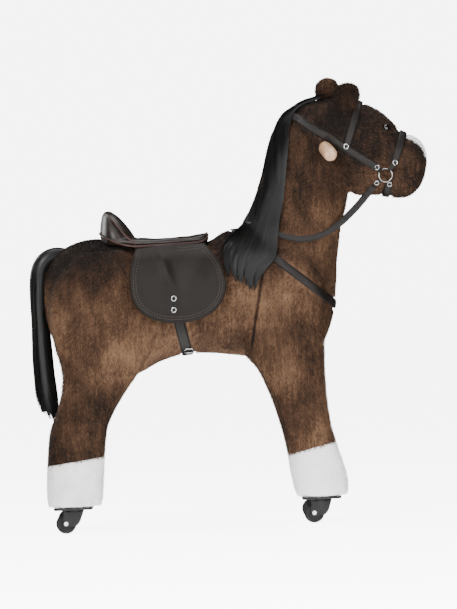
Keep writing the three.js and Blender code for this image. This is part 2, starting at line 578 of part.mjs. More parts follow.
add('spine_frame', spineFrame(), steel);
add('seat_board', box(SEAT_BOARD.x0, SEAT_BOARD.x1, -SEAT_BOARD.half, SEAT_BOARD.half, SEAT_BOARD.bottom, SEAT_BOARD.top),
  plywood);
add('front_pivot_bolt', pivotBolt(FRONT_PIVOT), nickel);
add('rear_pivot_bolt', pivotBolt(REAR_PIVOT), nickel);
add('return_spring', returnSpring(), steel);
add('handle_bar', handleBar(0), steel);
addPair('handle_grip', grip(0).subtract(handleBar(GAP)), beech);
add('body_padding', bodyPadding(), plush);
add('neck_padding', neckPadding(), plush);
add('head_padding', headPadding(), plush);
add('ear_right', mirrored(ear(246, 851, 0.15)), plush);
add('ear_left', ear(217, 866, 0.1), plush);
addPair('eye', eye(0), eyeGlass);
add('mane', mane(), hair);
add('tail', tail(), hair);
add('saddle_seat', seat(0), saddleLeather);
addPair('saddle_flap', flap(), saddleLeather);
for (const { name, x, z } of SNAPS) addPair(`flap_snap_${name}`, snap(x, z), nickel);
add('girth_strap', girthStrap(), strapLeather);
add('girth_buckle', girthBuckle(), nickel);
add('breast_strap', breastStrap(), strapLeather);
add('crown_strap', crownStrap(), strapLeather);
add('brow_band', browBand(), strapLeather);
add('nose_band', noseBand(), strapLeather);
add('chin_strap', chinStrap(), strapLeather);
addPair('bit_link', bitLink(), nickel);
add('reins', cut(reins(0), bosses(GAP), neck(GAP)), strapLeather);

const legPairs = [
  { end: 'front', pivot: FRONT_PIVOT, footX: FRONT_FOOT_X, shape: frontLeg, edge: frontSockEdge },
  { end: 'rear', pivot: REAR_PIVOT, footX: REAR_FOOT_X, shape: rearLeg, edge: rearSockEdge },
];
for (const { end, pivot, footX, shape, edge } of legPairs) {
  const frame = legFrame(pivot, footX);
  const roomForFrame = legTube(pivot, footX, 0.6);
  add(`${end}_leg_frame`, frame, steel);
  addPair(`${end}_leg_padding`, shape(0).intersect(edge(GAP)).subtract(roomForFrame), plush);
  addPair(`${end}_sock`, shape(0).subtract(edge(0)).subtract(roomForFrame), whitePlush);
  for (const [side, y] of [['left', FOOT_Y], ['right', -FOOT_Y]]) {
    const foot = new THREE.Group();
    foot.position.set(footX, y, 0);
    add(`${end}_foot_plate_${side}`, footPlate(), blackPlastic, foot);
    add(`${end}_caster_hood_${side}`, casterHood(), blackPlastic, foot);
    add(`${end}_caster_axle_${side}`, axle(), nickel, foot);
    add(`${end}_wheel_${side}`, wheel(), tyre, foot);
    horse.add(foot);
  }
}

export default horse;
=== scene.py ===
import math

import bpy
import numpy as np
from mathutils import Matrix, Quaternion, Vector


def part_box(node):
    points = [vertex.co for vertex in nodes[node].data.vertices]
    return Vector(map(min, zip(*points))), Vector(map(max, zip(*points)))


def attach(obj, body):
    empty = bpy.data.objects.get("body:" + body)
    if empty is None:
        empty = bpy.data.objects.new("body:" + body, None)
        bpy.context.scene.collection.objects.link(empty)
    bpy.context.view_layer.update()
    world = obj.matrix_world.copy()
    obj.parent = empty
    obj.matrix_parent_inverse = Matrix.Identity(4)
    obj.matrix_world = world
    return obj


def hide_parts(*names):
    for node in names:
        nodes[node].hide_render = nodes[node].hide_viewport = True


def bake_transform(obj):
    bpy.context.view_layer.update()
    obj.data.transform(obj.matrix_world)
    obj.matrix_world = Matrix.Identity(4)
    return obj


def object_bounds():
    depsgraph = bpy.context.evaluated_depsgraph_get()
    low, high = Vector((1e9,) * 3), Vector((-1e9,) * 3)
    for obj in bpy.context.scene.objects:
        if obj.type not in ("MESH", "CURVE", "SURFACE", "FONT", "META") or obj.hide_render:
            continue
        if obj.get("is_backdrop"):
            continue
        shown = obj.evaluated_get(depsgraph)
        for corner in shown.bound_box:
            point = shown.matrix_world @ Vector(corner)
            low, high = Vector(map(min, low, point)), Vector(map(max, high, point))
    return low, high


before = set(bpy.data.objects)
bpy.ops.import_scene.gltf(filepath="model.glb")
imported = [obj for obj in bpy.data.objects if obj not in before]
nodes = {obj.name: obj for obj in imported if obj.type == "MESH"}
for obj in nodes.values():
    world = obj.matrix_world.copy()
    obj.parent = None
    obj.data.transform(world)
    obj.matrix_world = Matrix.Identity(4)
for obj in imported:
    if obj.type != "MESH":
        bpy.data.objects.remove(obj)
cadLow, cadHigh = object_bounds()
mm = 0.001
sides = (("left", 1), ("right", -1))
print("frame loaded")


def unit(v):
    return v / np.maximum(np.linalg.norm(v, axis=-1, keepdims=True), 1e-12)


def mix(a, b, t):
    return a + (b - a) * t


def ease(t):
    t = np.clip(t, 0, 1)
    return t * t * (3 - 2 * t)


def signedPower(v, power):  # keeps the sign, and raises the size to a power
    return np.sign(v) * np.abs(v) ** power


def fullTurn(count):  # equal steps of angle once round, the last one short of the first
    return np.linspace(0, 2 * np.pi, count, endpoint=False)


def through(points, count):  # Catmull-Rom curve through rows of numbers, read at count equal steps
    p = np.asarray(points, float)
    t = np.linspace(0, len(p) - 1, count)
    i = np.minimum(t.astype(int), len(p) - 2)
    f = (t - i)[:, None]
    a, b, c, d = (p[np.clip(i + k, 0, len(p) - 1)] for k in (-1, 0, 1, 2))
    return b + 0.5 * f * (c - a + f * (2 * a - 5 * b + 4 * c - d + f * (3 * (b - c) + d - a)))


def byLength(points, count):  # the same line, read at equal lengths along it
    p = np.asarray(points, float)
    s = np.concatenate([[0], np.cumsum(np.linalg.norm(np.diff(p, axis=0), axis=1))])
    at = np.linspace(0, s[-1], count)
    return np.stack([np.interp(at, s, p[:, k]) for k in range(p.shape[1])], 1)


def blurredLine(v, width):  # a running mean over an odd number of values
    return np.convolve(np.pad(v, width // 2, mode="edge"), np.ones(width) / width, "valid")


def inside(x, z, outline):  # even-odd test of many points against one closed outline
    hit = np.zeros(x.shape, bool)
    for (ax, az), (bx, bz) in zip(outline, np.roll(outline, -1, axis=0)):
        if az != bz:
            hit ^= ((az > z) != (bz > z)) & (x < (bx - ax) * (z - az) / (bz - az) + ax)
    return hit


def gridFaces(rows, columns, closed=False, looped=False):
    # quads between neighbouring rows; closed joins the last column to the first, looped the last row
    rowStarts = np.arange(rows if looped else rows - 1)
    columnStarts = np.arange(columns if closed else columns - 1)
    i, j = np.meshgrid(rowStarts, columnStarts, indexing="ij")
    here, next_ = i * columns, (i + 1) % rows * columns
    k = (j + 1) % columns
    return np.stack([here + j, here + k, next_ + k, next_ + j], -1).reshape(-1, 4)


def fanFaces(ring, centre, flip=False):
    after = np.roll(ring, -1)
    made = np.stack([ring, after, np.full(len(ring), centre)], 1)
    return made[:, ::-1] if flip else made


def cappedTube(p, ends):  # points and faces of rings in a row, closed by a fan to one point at each end
    rows, around = p.shape[:2]
    flat = np.concatenate([p.reshape(-1, 3), ends])
    first = np.arange(around)
    last = first + (rows - 1) * around
    caps = [fanFaces(first, rows * around, True), fanFaces(last, rows * around + 1)]
    return flat, gridFaces(rows, around, True), np.concatenate(caps)


def meshOf(name, points, *faceSets):
    me = bpy.data.meshes.new(name)
    loops = np.concatenate([f.ravel() for f in faceSets]).astype(np.int32)
    sizes = np.concatenate([np.full(len(f), f.shape[1]) for f in faceSets])
    me.vertices.add(len(points))
    me.vertices.foreach_set("co", np.asarray(points, np.float32).ravel())
    me.loops.add(len(loops))
    me.loops.foreach_set("vertex_index", loops)
    me.polygons.add(len(sizes))
    me.polygons.foreach_set("loop_start", np.concatenate([[0], np.cumsum(sizes)[:-1]]).astype(np.int32))
    me.update(calc_edges=True)
    return me


def addObject(name, me, *materials, smooth=True):
    me.polygons.foreach_set("use_smooth", np.full(len(me.polygons), smooth))
    o = bpy.data.objects.new(name, me)
    bpy.context.scene.collection.objects.link(o)
    for material in materials:
        me.materials.append(material)
    return o


def finished(o):  # the object's mesh with its modifiers applied, in place of the old one
    bpy.context.view_layer.update()
    made = bpy.data.meshes.new_from_object(o.evaluated_get(bpy.context.evaluated_depsgraph_get()))
    o.modifiers.clear()
    o.data = made
    return o


def outward(o):  # turns the faces of a closed mesh outwards, by the sign of its volume
    p, f = pointsOf(o.data), trianglesOf(o.data)
    a, b, c = p[f[:, 0]], p[f[:, 1]], p[f[:, 2]]
    if (a * np.cross(b, c)).sum() < 0:
        o.data.flip_normals()
    return o


def solid(name, parts, *materials):  # a closed piece from its points and faces
    return outward(addObject(name, meshOf(name, *parts), *materials))


def pointsOf(me):
    co = np.empty(len(me.vertices) * 3, np.float32)
    me.vertices.foreach_get("co", co)
    return co.reshape(-1, 3).astype(float)


def trianglesOf(me):
    me.calc_loop_triangles()
    tri = np.empty(len(me.loop_triangles) * 3, np.int32)
    me.loop_triangles.foreach_get("vertices", tri)
    return tri.reshape(-1, 3)


def addModifier(o, kind, **values):
    m = o.modifiers.new(kind.lower(), kind)
    for key, value in values.items():
        setattr(m, key, value)
    return m


def mirroredPoints(p):
    return p * np.array([1, -1, 1])


def setNumbers(me, name, values):  # one number for each vertex
    me.attributes.new(name, "FLOAT", "POINT").data.foreach_set("value", np.asarray(values, np.float32))


def setUv(me, perVertex):  # a UV map from one pair of numbers for each vertex
    loops = np.empty(len(me.loops), np.int32)
    me.loops.foreach_get("vertex_index", loops)
    me.uv_layers.new(name="along").data.foreach_set("uv", np.asarray(perVertex, np.float32)[loops].ravel())


def place(o, body, slot, *replaced):
    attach(o, body)
    if replaced:
        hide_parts(*replaced)
    return o


class Nodes:  # short words for building one material's nodes
    def __init__(self, name, **surface):
        self.material = bpy.data.materials.new(name)
        self.material.use_nodes = True
        self.tree = self.material.node_tree
        self.surface = self.tree.nodes["Principled BSDF"]
        for key, value in surface.items():
            self.surface.inputs[key.replace("_", " ")].default_value = value

    def add(self, kind, inputs=None, **settings):
        n = self.tree.nodes.new("ShaderNode" + kind)
        for key, value in settings.items():
            setattr(n, key, value)
        for key, value in (inputs or {}).items():
            self.set(n.inputs[key], value)
        return n

    def set(self, socket, value):
        if isinstance(value, bpy.types.NodeSocket):
            self.tree.links.new(value, socket)
        else:
            socket.default_value = value

    def math(self, operation, a, b=0.0, clamp=False):
        n = self.add("Math", operation=operation, use_clamp=clamp)
        self.set(n.inputs[0], a)
        self.set(n.inputs[1], b)
        return n.outputs[0]

    def overlap(self, a, b):  # the product of two shares
        return self.math("MULTIPLY", a, b, clamp=True)

    def position(self, scale=(1, 1, 1), turn=(0, 0, 0)):
        at = self.add("TexCoord").outputs["Object"]
        return self.add("Mapping", {"Vector": at, "Scale": scale, "Rotation": turn}).outputs[0]

    def uv(self, scale=(1, 1, 1)):
        return self.add("Mapping", {"Vector": self.add("TexCoord").outputs["UV"], "Scale": scale}).outputs[0]

    def noise(self, scale, where=None, detail=3.0, roughness=0.55):
        n = self.add("TexNoise", {"Scale": scale, "Detail": detail, "Roughness": roughness})
        self.tree.links.new(where or self.position(), n.inputs["Vector"])
        return n.outputs["Fac"]

    def ramp(self, value, stops):
        n = self.add("ValToRGB")
        while len(n.color_ramp.elements) < len(stops):
            n.color_ramp.elements.new(0.5)
        for e, (at, colour) in zip(n.color_ramp.elements, stops):
            e.position, e.color = at, (*colour, 1) if len(colour) == 3 else colour
        self.set(n.inputs[0], value)
        return n.outputs["Color"]

    def blend(self, share, a, b, kind="MIX"):
        n = self.add("Mix", data_type="RGBA", blend_type=kind)
        for key, value in (("Factor", share), ("A", a), ("B", b)):
            socket = next(s for s in n.inputs if s.name == key and s.enabled)
            self.set(socket, (*value, 1) if isinstance(value, tuple) and len(value) == 3 else value)
        return next(s for s in n.outputs if s.enabled)

    def between(self, value, low, high, toLow=0.0, toHigh=1.0):
        n = self.add("MapRange", {"From Min": low, "From Max": high, "To Min": toLow, "To Max": toHigh})
        self.set(n.inputs[0], value)
        return n.outputs[0]

    def bump(self, height, strength, distance):
        n = self.add("Bump", {"Height": height, "Strength": strength, "Distance": distance})
        self.tree.links.new(n.outputs[0], self.surface.inputs["Normal"])

    def colour(self, value):
        self.set(self.surface.inputs["Base Color"], value)

    def rough(self, value):
        self.set(self.surface.inputs["Roughness"], value)


plush = {
    "dark": (0.0060, 0.0034, 0.0023), "mid": (0.061, 0.0305, 0.0165), "light": (0.190, 0.109, 0.061),
    "white": (0.95, 0.945, 0.94), "whiteShade": (0.60, 0.59, 0.58),
}


def furMaterial(name, white=False, strands=True):
    k = Nodes(name, Roughness=0.7, Sheen_Weight=0.03, Sheen_Roughness=0.5, Specular_IOR_Level=0.12)
    patches = k.noise(9.0, k.position((1.0, 1.0, 0.8)), 3.0, 0.60)
    streaks = k.noise(150.0, k.position((1.0, 1.0, 0.16)), 3.0, 0.6)
    value = k.math("ADD", k.math("MULTIPLY", patches, 0.72), k.math("MULTIPLY", streaks, 0.28))
    if strands:
        own = k.add("Attribute", attribute_name="shade").outputs["Fac"]
        value = k.math("ADD", k.math("MULTIPLY", value, 0.78), k.math("MULTIPLY", own, 0.22))
    if white:
        k.colour(k.ramp(value, [(0.20, plush["whiteShade"]), (0.50, plush["white"])]))
        return k.material
    where = k.add("SeparateXYZ", {"Vector": k.add("TexCoord").outputs["Object"]})
    x, y, z = where.outputs
    # painted shade: darker along the back, over the poll and beside the mane; lighter low on the shoulder and
    # thigh
    back = k.overlap(k.between(z, 0.45, 0.575), k.between(x, 0.12, 0.02))
    head = k.overlap(k.between(z, 0.63, 0.76), k.between(x, 0.09, 0.13))
    # the far ear is kept out of the painted shade, so it shows lighter than the near ear
    farEarUnshaded = k.overlap(k.between(z, 0.850, 0.868), k.between(y, 0.0, 0.02))
    farEarUnshaded = k.math("MULTIPLY", farEarUnshaded, 1.3)
    head = k.math("SUBTRACT", head, farEarUnshaded, clamp=True)
    poll = k.overlap(k.between(z, 0.775, 0.805), k.between(x, 0.25, 0.22))
    head = k.math("ADD", head, k.math("MULTIPLY", poll, 0.4))
    leg = k.overlap(k.between(z, 0.43, 0.34), k.between(x, 0.0, 0.03))
    shadeBesideMane = k.overlap(k.between(x, 0.130, 0.08), k.between(z, 0.46, 0.54))
    hock = k.overlap(k.between(z, 0.30, 0.23), k.between(x, -0.10, -0.20))
    legs = k.math("MAXIMUM", k.math("MULTIPLY", leg, 0.18), k.math("MULTIPLY", hock, 0.45))
    below = k.math("MAXIMUM", k.math("MULTIPLY", shadeBesideMane, 0.85), legs)
    paintedShade = k.math("MAXIMUM", k.math("MAXIMUM", back, head), below)
    # the painted shade lowers the pile's value before it picks a colour
    value = k.math("SUBTRACT", value, k.math("MULTIPLY", paintedShade, 0.175))
    # painted shade along the shoulder seam, where it sinks between the piles: a line in X and Z, dark within
    # a few millimetres of it
    across = k.math("SUBTRACT", k.math("MULTIPLY", x, 0.982), k.math("MULTIPLY", z, 0.187))
    toSeam = k.math("ABSOLUTE", k.math("ADD", across, 0.0314))
    seam = k.overlap(k.between(toSeam, 0.0042, 0.0008), k.between(z, 0.345, 0.365))
    seam = k.overlap(seam, k.between(z, 0.545, 0.52))
    value = k.math("SUBTRACT", value, k.math("MULTIPLY", seam, 0.20))
    brown = k.ramp(value, [(0.30, plush["dark"]), (0.47, plush["mid"]), (0.66, plush["light"])])
    # white pile covers the top of the nose
    wobble = k.math("MULTIPLY", k.math("SUBTRACT", k.noise(45.0, k.position(), 2.0), 0.5), 0.010)
    aside = k.math("SUBTRACT", k.math("ABSOLUTE", y), k.math("ADD", 0.026, wobble))
    onTop = k.math("SUBTRACT", k.math("ADD", z, k.math("MULTIPLY", x, 0.75)), 1.033)
    mask = k.overlap(k.between(aside, 0.002, -0.002), k.between(onTop, -0.003, 0.003))
    mask = k.overlap(mask, k.between(x, 0.366, 0.374))
    k.colour(k.blend(mask, brown, plush["white"]))
    if not strands:
        k.bump(streaks, 0.6, 0.003)
    return k.material


def leatherMaterial(name, colour, worn, roughness, grain, coat, specular):
    k = Nodes(name, Coat_Weight=coat, Coat_Roughness=0.22, Specular_IOR_Level=specular)
    cracks = k.add("TexVoronoi", {"Scale": grain, "Vector": k.position()}, feature="DISTANCE_TO_EDGE")
    cells = k.between(cracks.outputs["Distance"], 0.0, 0.15)
    folds = k.noise(26.0, k.position(), 4.0, 0.6)
    k.colour(k.blend(k.between(folds, 0.45, 0.75), colour, worn))
    k.rough(k.between(folds, 0.3, 0.7, roughness - 0.06, roughness + 0.12))
    height = k.math("ADD", k.math("MULTIPLY", cells, 0.35), k.math("MULTIPLY", folds, 1.2))
    k.bump(height, 0.35, 0.0006)
    return k.material


hairShades = [(0.2, (0.0008, 0.0008, 0.0008)), (0.55, (0.0028, 0.0026, 0.0026)),
              (0.85, (0.014, 0.013, 0.0125))]


def hairMaterial(name):
    k = Nodes(name, Specular_IOR_Level=0.21)
    own = k.add("Attribute", attribute_name="shade").outputs["Fac"]
    along = k.noise(3.0, k.uv((6.0, 2.0, 1.0)), 2.0)
    value = k.math("ADD", k.math("MULTIPLY", own, 0.7), k.math("MULTIPLY", along, 0.3))
    k.colour(k.ramp(value, hairShades))
    k.rough(k.between(own, 0.0, 1.0, 0.32, 0.52))
    return k.material


def metalMaterial(name, colour, roughness, metallic=1.0, wear=0.1):
    k = Nodes(name, Metallic=metallic)
    marks = k.noise(140.0, k.position((1.0, 1.0, 4.0)), 4.0, 0.65)
    dark = tuple(c * 0.82 for c in colour)
    k.colour(k.blend(k.between(marks, 0.35, 0.7), dark, colour))
    k.rough(k.between(marks, 0.3, 0.7, roughness, roughness + wear))
    k.bump(marks, 0.05, 0.0003)
    return k.material


def plasticMaterial(name, colour, roughness, grain=1400.0):
    k = Nodes(name, Specular_IOR_Level=0.22)
    fine = k.noise(grain, k.position(), 2.0)
    scuffs = k.noise(70.0, k.position((1.0, 1.0, 0.4)), 5.0, 0.7)
    k.colour(k.blend(k.between(scuffs, 0.5, 0.8), colour, tuple(c * 1.9 + 0.002 for c in colour)))
    k.rough(k.between(scuffs, 0.35, 0.75, roughness, roughness + 0.2))
    k.bump(fine, 0.12, 0.0002)
    return k.material


def woodMaterial(name, light, dark, turn=(0, 0, 0), scale=1.0):
    k = Nodes(name, Roughness=0.45, Coat_Weight=0.15, Coat_Roughness=0.3)
    where = k.position((14 * scale, 3 * scale, 60 * scale), turn)
    rings = k.add("TexWave", {"Scale": 1.6, "Distortion": 5.0, "Detail": 3.0, "Vector": where}).outputs["Fac"]
    pores = k.noise(30.0, k.position((40.0, 4.0, 40.0), turn), 4.0)
    grain = k.math("ADD", k.math("MULTIPLY", rings, 0.6), k.math("MULTIPLY", pores, 0.4))
    k.colour(k.blend(grain, dark, light))
    k.bump(pores, 0.15, 0.0003)
    return k.material


brownFur = furMaterial("brownFur")
whiteFur = furMaterial("whiteFur", white=True)
brownBacking = furMaterial("brownBacking", strands=False)
whiteBacking = furMaterial("whiteBacking", white=True, strands=False)
blackHair = hairMaterial("blackHair")
hairBacking = leatherMaterial("hairBacking", (0.002, 0.002, 0.002), (0.004, 0.004, 0.004),
                              roughness=0.75, grain=400.0, coat=0.0, specular=0.15)
saddleHide = leatherMaterial("saddleHide", (0.0080, 0.0048, 0.0038), (0.0135, 0.0080, 0.0064),
                             roughness=0.30, grain=900.0, coat=0.06, specular=0.30)
flapHide = leatherMaterial("flapHide", (0.0060, 0.0043, 0.0034), (0.0086, 0.0062, 0.0050),
                           roughness=0.45, grain=900.0, coat=0.0, specular=0.13)
pipingHide = leatherMaterial("pipingHide", (0.026, 0.0110, 0.0085), (0.040, 0.0170, 0.0125),
                             roughness=0.38, grain=900.0, coat=0.0, specular=0.25)
strapHide = leatherMaterial("strapHide", (0.0062, 0.0046, 0.0040), (0.0105, 0.0078, 0.0068),
                            roughness=0.46, grain=900.0, coat=0.0, specular=0.20)
threadDark = leatherMaterial("threadDark", (0.075, 0.058, 0.046), (0.10, 0.078, 0.062),
                             roughness=0.7, grain=2500.0, coat=0.0, specular=0.2)
nickelPlate = metalMaterial("nickelPlate", (0.34, 0.34, 0.33), 0.16, 1.0, 0.08)
frameSteel = metalMaterial("frameSteel", (0.09, 0.09, 0.10), 0.35, 0.6)
springSteel = metalMaterial("springSteel", (0.42, 0.42, 0.43), 0.3)
blackPlastic = plasticMaterial("blackPlastic", (0.0035, 0.0035, 0.0038), 0.36)
wheelRubber = plasticMaterial("wheelRubber", (0.0055, 0.0055, 0.0060), 0.50, 800.0)
gripBeech = woodMaterial("gripBeech", (0.50, 0.315, 0.19), (0.36, 0.205, 0.115), (0.31, 0.0, 0.0))
seatPly = woodMaterial("seatPly", (0.62, 0.44, 0.27), (0.46, 0.30, 0.17), scale=0.6)


def eyeMaterial():
    k = Nodes("glassEye", Roughness=0.05, Coat_Weight=0.3, Coat_Roughness=0.03, Specular_IOR_Level=0.5)
    shades = [(0.3, (0.0012, 0.0008, 0.0008)), (0.8, (0.004, 0.0022, 0.0018))]
    k.colour(k.ramp(k.noise(160.0, k.position(), 3.0), shades))
    return k.material


glassEye = eyeMaterial()
print("materials made")


cameraSet = {
    "target": (-0.0055, 0.0, 0.4466), "distance": 12.0, "azimuth": -0.5, "elevation": 0.6, "roll": 2.56,
    "frameHeight": 1.2387,
}


def addCamera(c):
    data = bpy.data.cameras.new("camera")
    data.lens = data.sensor_width * c["distance"] / c["frameHeight"]
    data.clip_start, data.clip_end = 0.05, 60
    o = bpy.data.objects.new("camera", data)
    bpy.context.scene.collection.objects.link(o)
    a, e = math.radians(c["azimuth"]), math.radians(c["elevation"])
    back = Vector((math.sin(a) * math.cos(e), -math.cos(a) * math.cos(e), math.sin(e)))
    o.location = Vector(c["target"]) + back * c["distance"]
    o.rotation_mode = "QUATERNION"
    turn = (-back).to_track_quat("-Z", "Y")
    o.rotation_quaternion = turn @ Quaternion((0, 0, 1), -math.radians(c["roll"]))
    bpy.context.scene.camera = o


addCamera(cameraSet)

# the reins are the one free strap: a flat band round the neck from one bit ring to the other
reinSet = {
    "route": [(300, 48, 675), (279, 54, 650), (254, 62, 624), (224, 68, 599), (187, 79.5, 579),
              (146, 90.5, 573), (104, 87.5, 583), (70, 71, 597), (45, 36, 606), (36, 10, 608)],
    "width": 12.0, "thickness": 2.4,
}


def bandAlong(line, across, width, thickness, columns=7):
    # a flat strap: at each point of the line a rounded oblong, width by thickness, its long side along across
    way = unit(np.gradient(line, axis=0))
    out = unit(np.cross(across, way))
    side = unit(np.cross(way, out))
    a = fullTurn(4 * columns)
    u = signedPower(np.cos(a), 0.35) * width / 2
    v = signedPower(np.sin(a), 0.6) * thickness / 2
    p = line[:, None] + side[:, None] * u[None, :, None] + out[:, None] * v[None, :, None]
    return cappedTube(p, line[[0, -1]])


def addReins(s):
    half = np.array(s["route"]) * mm
    route = byLength(through(np.concatenate([half, mirroredPoints(half)[::-1]]), 400), 161)
    outward0 = np.stack([(route[:, 0] - 0.15), route[:, 1] * 1.6, route[:, 2] * 0], 1)
    ahead = route[:, 0] > 0.2
    outward0[ahead] = np.stack([route[ahead, 0] * 0, np.sign(route[ahead, 1]), route[ahead, 0] * 0], 1)
    way = unit(np.gradient(route, axis=0))
    across = unit(np.cross(way, unit(outward0)))
    across = unit(np.stack([blurredLine(across[:, k], 9) for k in range(3)], 1))
    band = bandAlong(route, across, s["width"] * mm, s["thickness"] * mm)
    o = solid("rein_strap", band, strapHide)
    place(o, "horse_body", "strap_leather", "reins")
    return route


reinRoute = addReins(reinSet)
print("camera and reins set")

# each row of a section: one edge in X and Z, the other edge in X and Z, the middle in Y, and half the width
form = {
    "torso": [(-377, 512, -377, 452, 0, 26), (-366, 541, -366, 398, 0, 66), (-338, 573, -338, 352, 0, 94),
              (-296, 590, -296, 334, 0, 110), (-250, 592, -250, 318, 0, 117), (-200, 585, -200, 313, 0, 116),
              (-148, 577, -148, 337, 0, 112), (-95, 575, -95, 350, 0, 110), (-42, 577, -42, 349, 0, 110),
              (-4, 597, -4, 344, 0, 110), (42, 600, 42, 338, 0, 109), (90, 598, 90, 335, 0, 106),
              (140, 588, 140, 338, 0, 99), (180, 566, 180, 358, 0, 84), (205, 540, 203, 412, 0, 60),
              (216, 515, 211, 468, 0, 28)],
    "neck": [(216, 500, 0, 500, 0, 98), (219, 520, 8, 520, 0, 96), (225, 560, 25, 560, 0, 89),
             (232, 600, 40, 600, 0, 81), (244, 640, 53, 640, 0, 75), (249, 680, 66, 680, 0, 70),
             (237, 720, 78, 720, 0, 66), (232, 760, 93, 760, 0, 63), (227, 800, 114, 800, 0, 58),
             (218, 835, 140, 836, 0, 48), (206, 852, 161, 850, 0, 26)],
    "head": [(170, 840, 206, 748, 0, 40), (204, 855, 222, 702, 0, 61), (250, 854, 246, 668, 0, 67),
             (290, 843, 272, 655, 0, 65), (322, 825, 295, 655, 0, 59), (345, 802, 312, 654, 0, 53),
             (360, 784, 326, 652, 0, 49), (385, 774, 344, 647, 0, 48), (401, 760, 370, 649, 0, 46),
             (408, 741, 392, 668, 0, 38), (409, 722, 402, 690, 0, 20)],
    "frontLeg": [(219, 54, 114, 54, 97, 45), (219, 92, 107, 92, 97, 46), (203, 150, 99, 150, 97, 43),
                 (191, 200, 88, 200, 96, 41), (186, 250, 73, 250, 96, 38), (184, 300, 53, 300, 95, 34),
                 (185, 325, 38, 325, 94, 33), (186, 350, 20, 350, 93, 33), (188, 410, 30, 410, 88, 36),
                 (188, 470, 46, 470, 82, 42), (172, 520, 66, 520, 74, 42), (150, 552, 92, 552, 66, 34)],
    "rearLeg": [(-279, 54, -389, 54, 97, 45), (-275, 95, -390, 95, 97, 46), (-270, 150, -386, 150, 97, 43),
                (-262, 205, -379, 205, 96, 42), (-245, 243, -364, 243, 96, 41),
                (-220, 282, -353, 282, 95, 39), (-190, 322, -350, 322, 93, 36),
                (-160, 372, -361, 372, 89, 38), (-146, 425, -370, 425, 85, 42),
                (-152, 480, -366, 480, 80, 46), (-176, 530, -340, 530, 72, 44),
                (-210, 566, -302, 566, 60, 34)],
    "skin": -3.2, "voxel": 0.0045, "smoothing": 14,
}


def ovalForm(stations, rows, around, power=2.3, grow=0.0):
    # sections between two edges: middle + edge * c(a) + width * s(a), with c and s powers of cosine and sine
    s = through(stations, rows) * mm
    middle = np.stack([(s[:, 0] + s[:, 2]) / 2, s[:, 4], (s[:, 1] + s[:, 3]) / 2], 1)
    edge = np.stack([(s[:, 0] - s[:, 2]) / 2, s[:, 4] * 0, (s[:, 1] - s[:, 3]) / 2], 1)
    edge *= 1 + grow * mm / np.linalg.norm(edge, axis=1, keepdims=True)
    a = fullTurn(around)
    c, d = (signedPower(f, 2 / power) for f in (np.cos(a), np.sin(a)))
    p = middle[:, None] + edge[:, None] * c[None, :, None]
    p[:, :, 1] += (s[:, 5] + grow * mm)[:, None] * d[None]
    ends = np.array([middle[0] * 1.5 - middle[1] * 0.5, middle[-1] * 1.5 - middle[-2] * 0.5])
    return p, ends


def closedForm(name, p, ends):
    return solid(name, cappedTube(p, ends))


def joined(name, objects):  # several closed forms as one mesh, each still closed
    points, tris, base = [], [], 0
    for o in objects:
        me = o.data
        points.append(pointsOf(me))
        tris.append(trianglesOf(me) + base)
        base += len(me.vertices)
        bpy.data.objects.remove(o)
    return addObject(name, meshOf(name, np.concatenate(points), np.concatenate(tris)))


def stuffedForm(f):
    parts = []
    for key, rows, around, power in (("torso", 70, 48, 2.3), ("neck", 50, 44, 2.3), ("head", 50, 44, 2.4)):
        parts.append(closedForm(key, *ovalForm(f[key], rows, around, power, f["skin"])))
    for key in ("frontLeg", "rearLeg"):
        p, ends = ovalForm(f[key], 70, 40, 2.5, f["skin"])
        ends[0] = p[0].mean(0)
        parts.append(closedForm(key + "Left", p, ends))
        parts.append(closedForm(key + "Right", mirroredPoints(p), mirroredPoints(ends)))
    whole = joined("stuffedForm", parts)
    addModifier(whole, "REMESH", mode="VOXEL", voxel_size=f["voxel"])
    addModifier(whole, "SMOOTH", factor=0.5, iterations=f["smoothing"])
    return finished(whole)


stuffed = stuffedForm(form)
print("stuffed form:", len(stuffed.data.polygons), "faces")


def copyOf(o, name):
    made = o.copy()
    made.data = o.data.copy()
    made.name = name
    bpy.context.scene.collection.objects.link(made)
    return made


wholeSkin = copyOf(stuffed, "whole_skin")  # kept only to measure from, and removed near the end

# where the stuffed form is cut into the body, the legs and the socks
seams = {
    "front": [(87, 540), (60, 440), (29, 338), (40, 330), (60, 30), (300, 30), (300, 400), (214, 442),
              (150, 492)],
    "rear": [(-128, 470), (-125, 400), (-150, 352), (-172, 335), (-190, 30), (-450, 30), (-450, 486),
             (-300, 512), (-190, 506)],
    "inner": 42.0,
    "sockFront": ((108, 142), (198, 163)), "sockRear": ((-381, 139), (-272, 153)),
    "frontBend": ((0.070, 0.0, 0.470), (0.135, 0.0, 0.410)),
    "rearBend": ((-0.150, 0.0, 0.420), (-0.250, 0.0, 0.370)),
}


def prism(name, outline, low, high):  # an outline in X and Z, carried along Y
    p = np.array(outline, float) * mm
    n = len(p)
    flat = np.concatenate([np.stack([p[:, 0], np.full(n, y), p[:, 1]], 1) for y in (low, high)])
    ring = np.arange(n)
    walls = np.stack([ring, np.roll(ring, -1), np.roll(ring, -1) + n, ring + n], 1)
    caps = np.stack([ring[::-1], ring + n])
    return outward(addObject(name, meshOf(name, flat, walls, caps)))


def cutWith(o, tool, operation):
    addModifier(o, "BOOLEAN", object=tool, operation=operation, solver="EXACT")
    return finished(o)


def sockOutline(line, upper):  # everything above, or below, the sock's slanting top edge
    (ax, az), (bx, bz) = line
    slope = (bz - az) / (bx - ax)
    left, right = (ax - 200, az - 200 * slope), (bx + 200, bz + 200 * slope)
    far = 700 if upper else -50
    return [left, right, (right[0], far), (left[0], far)]


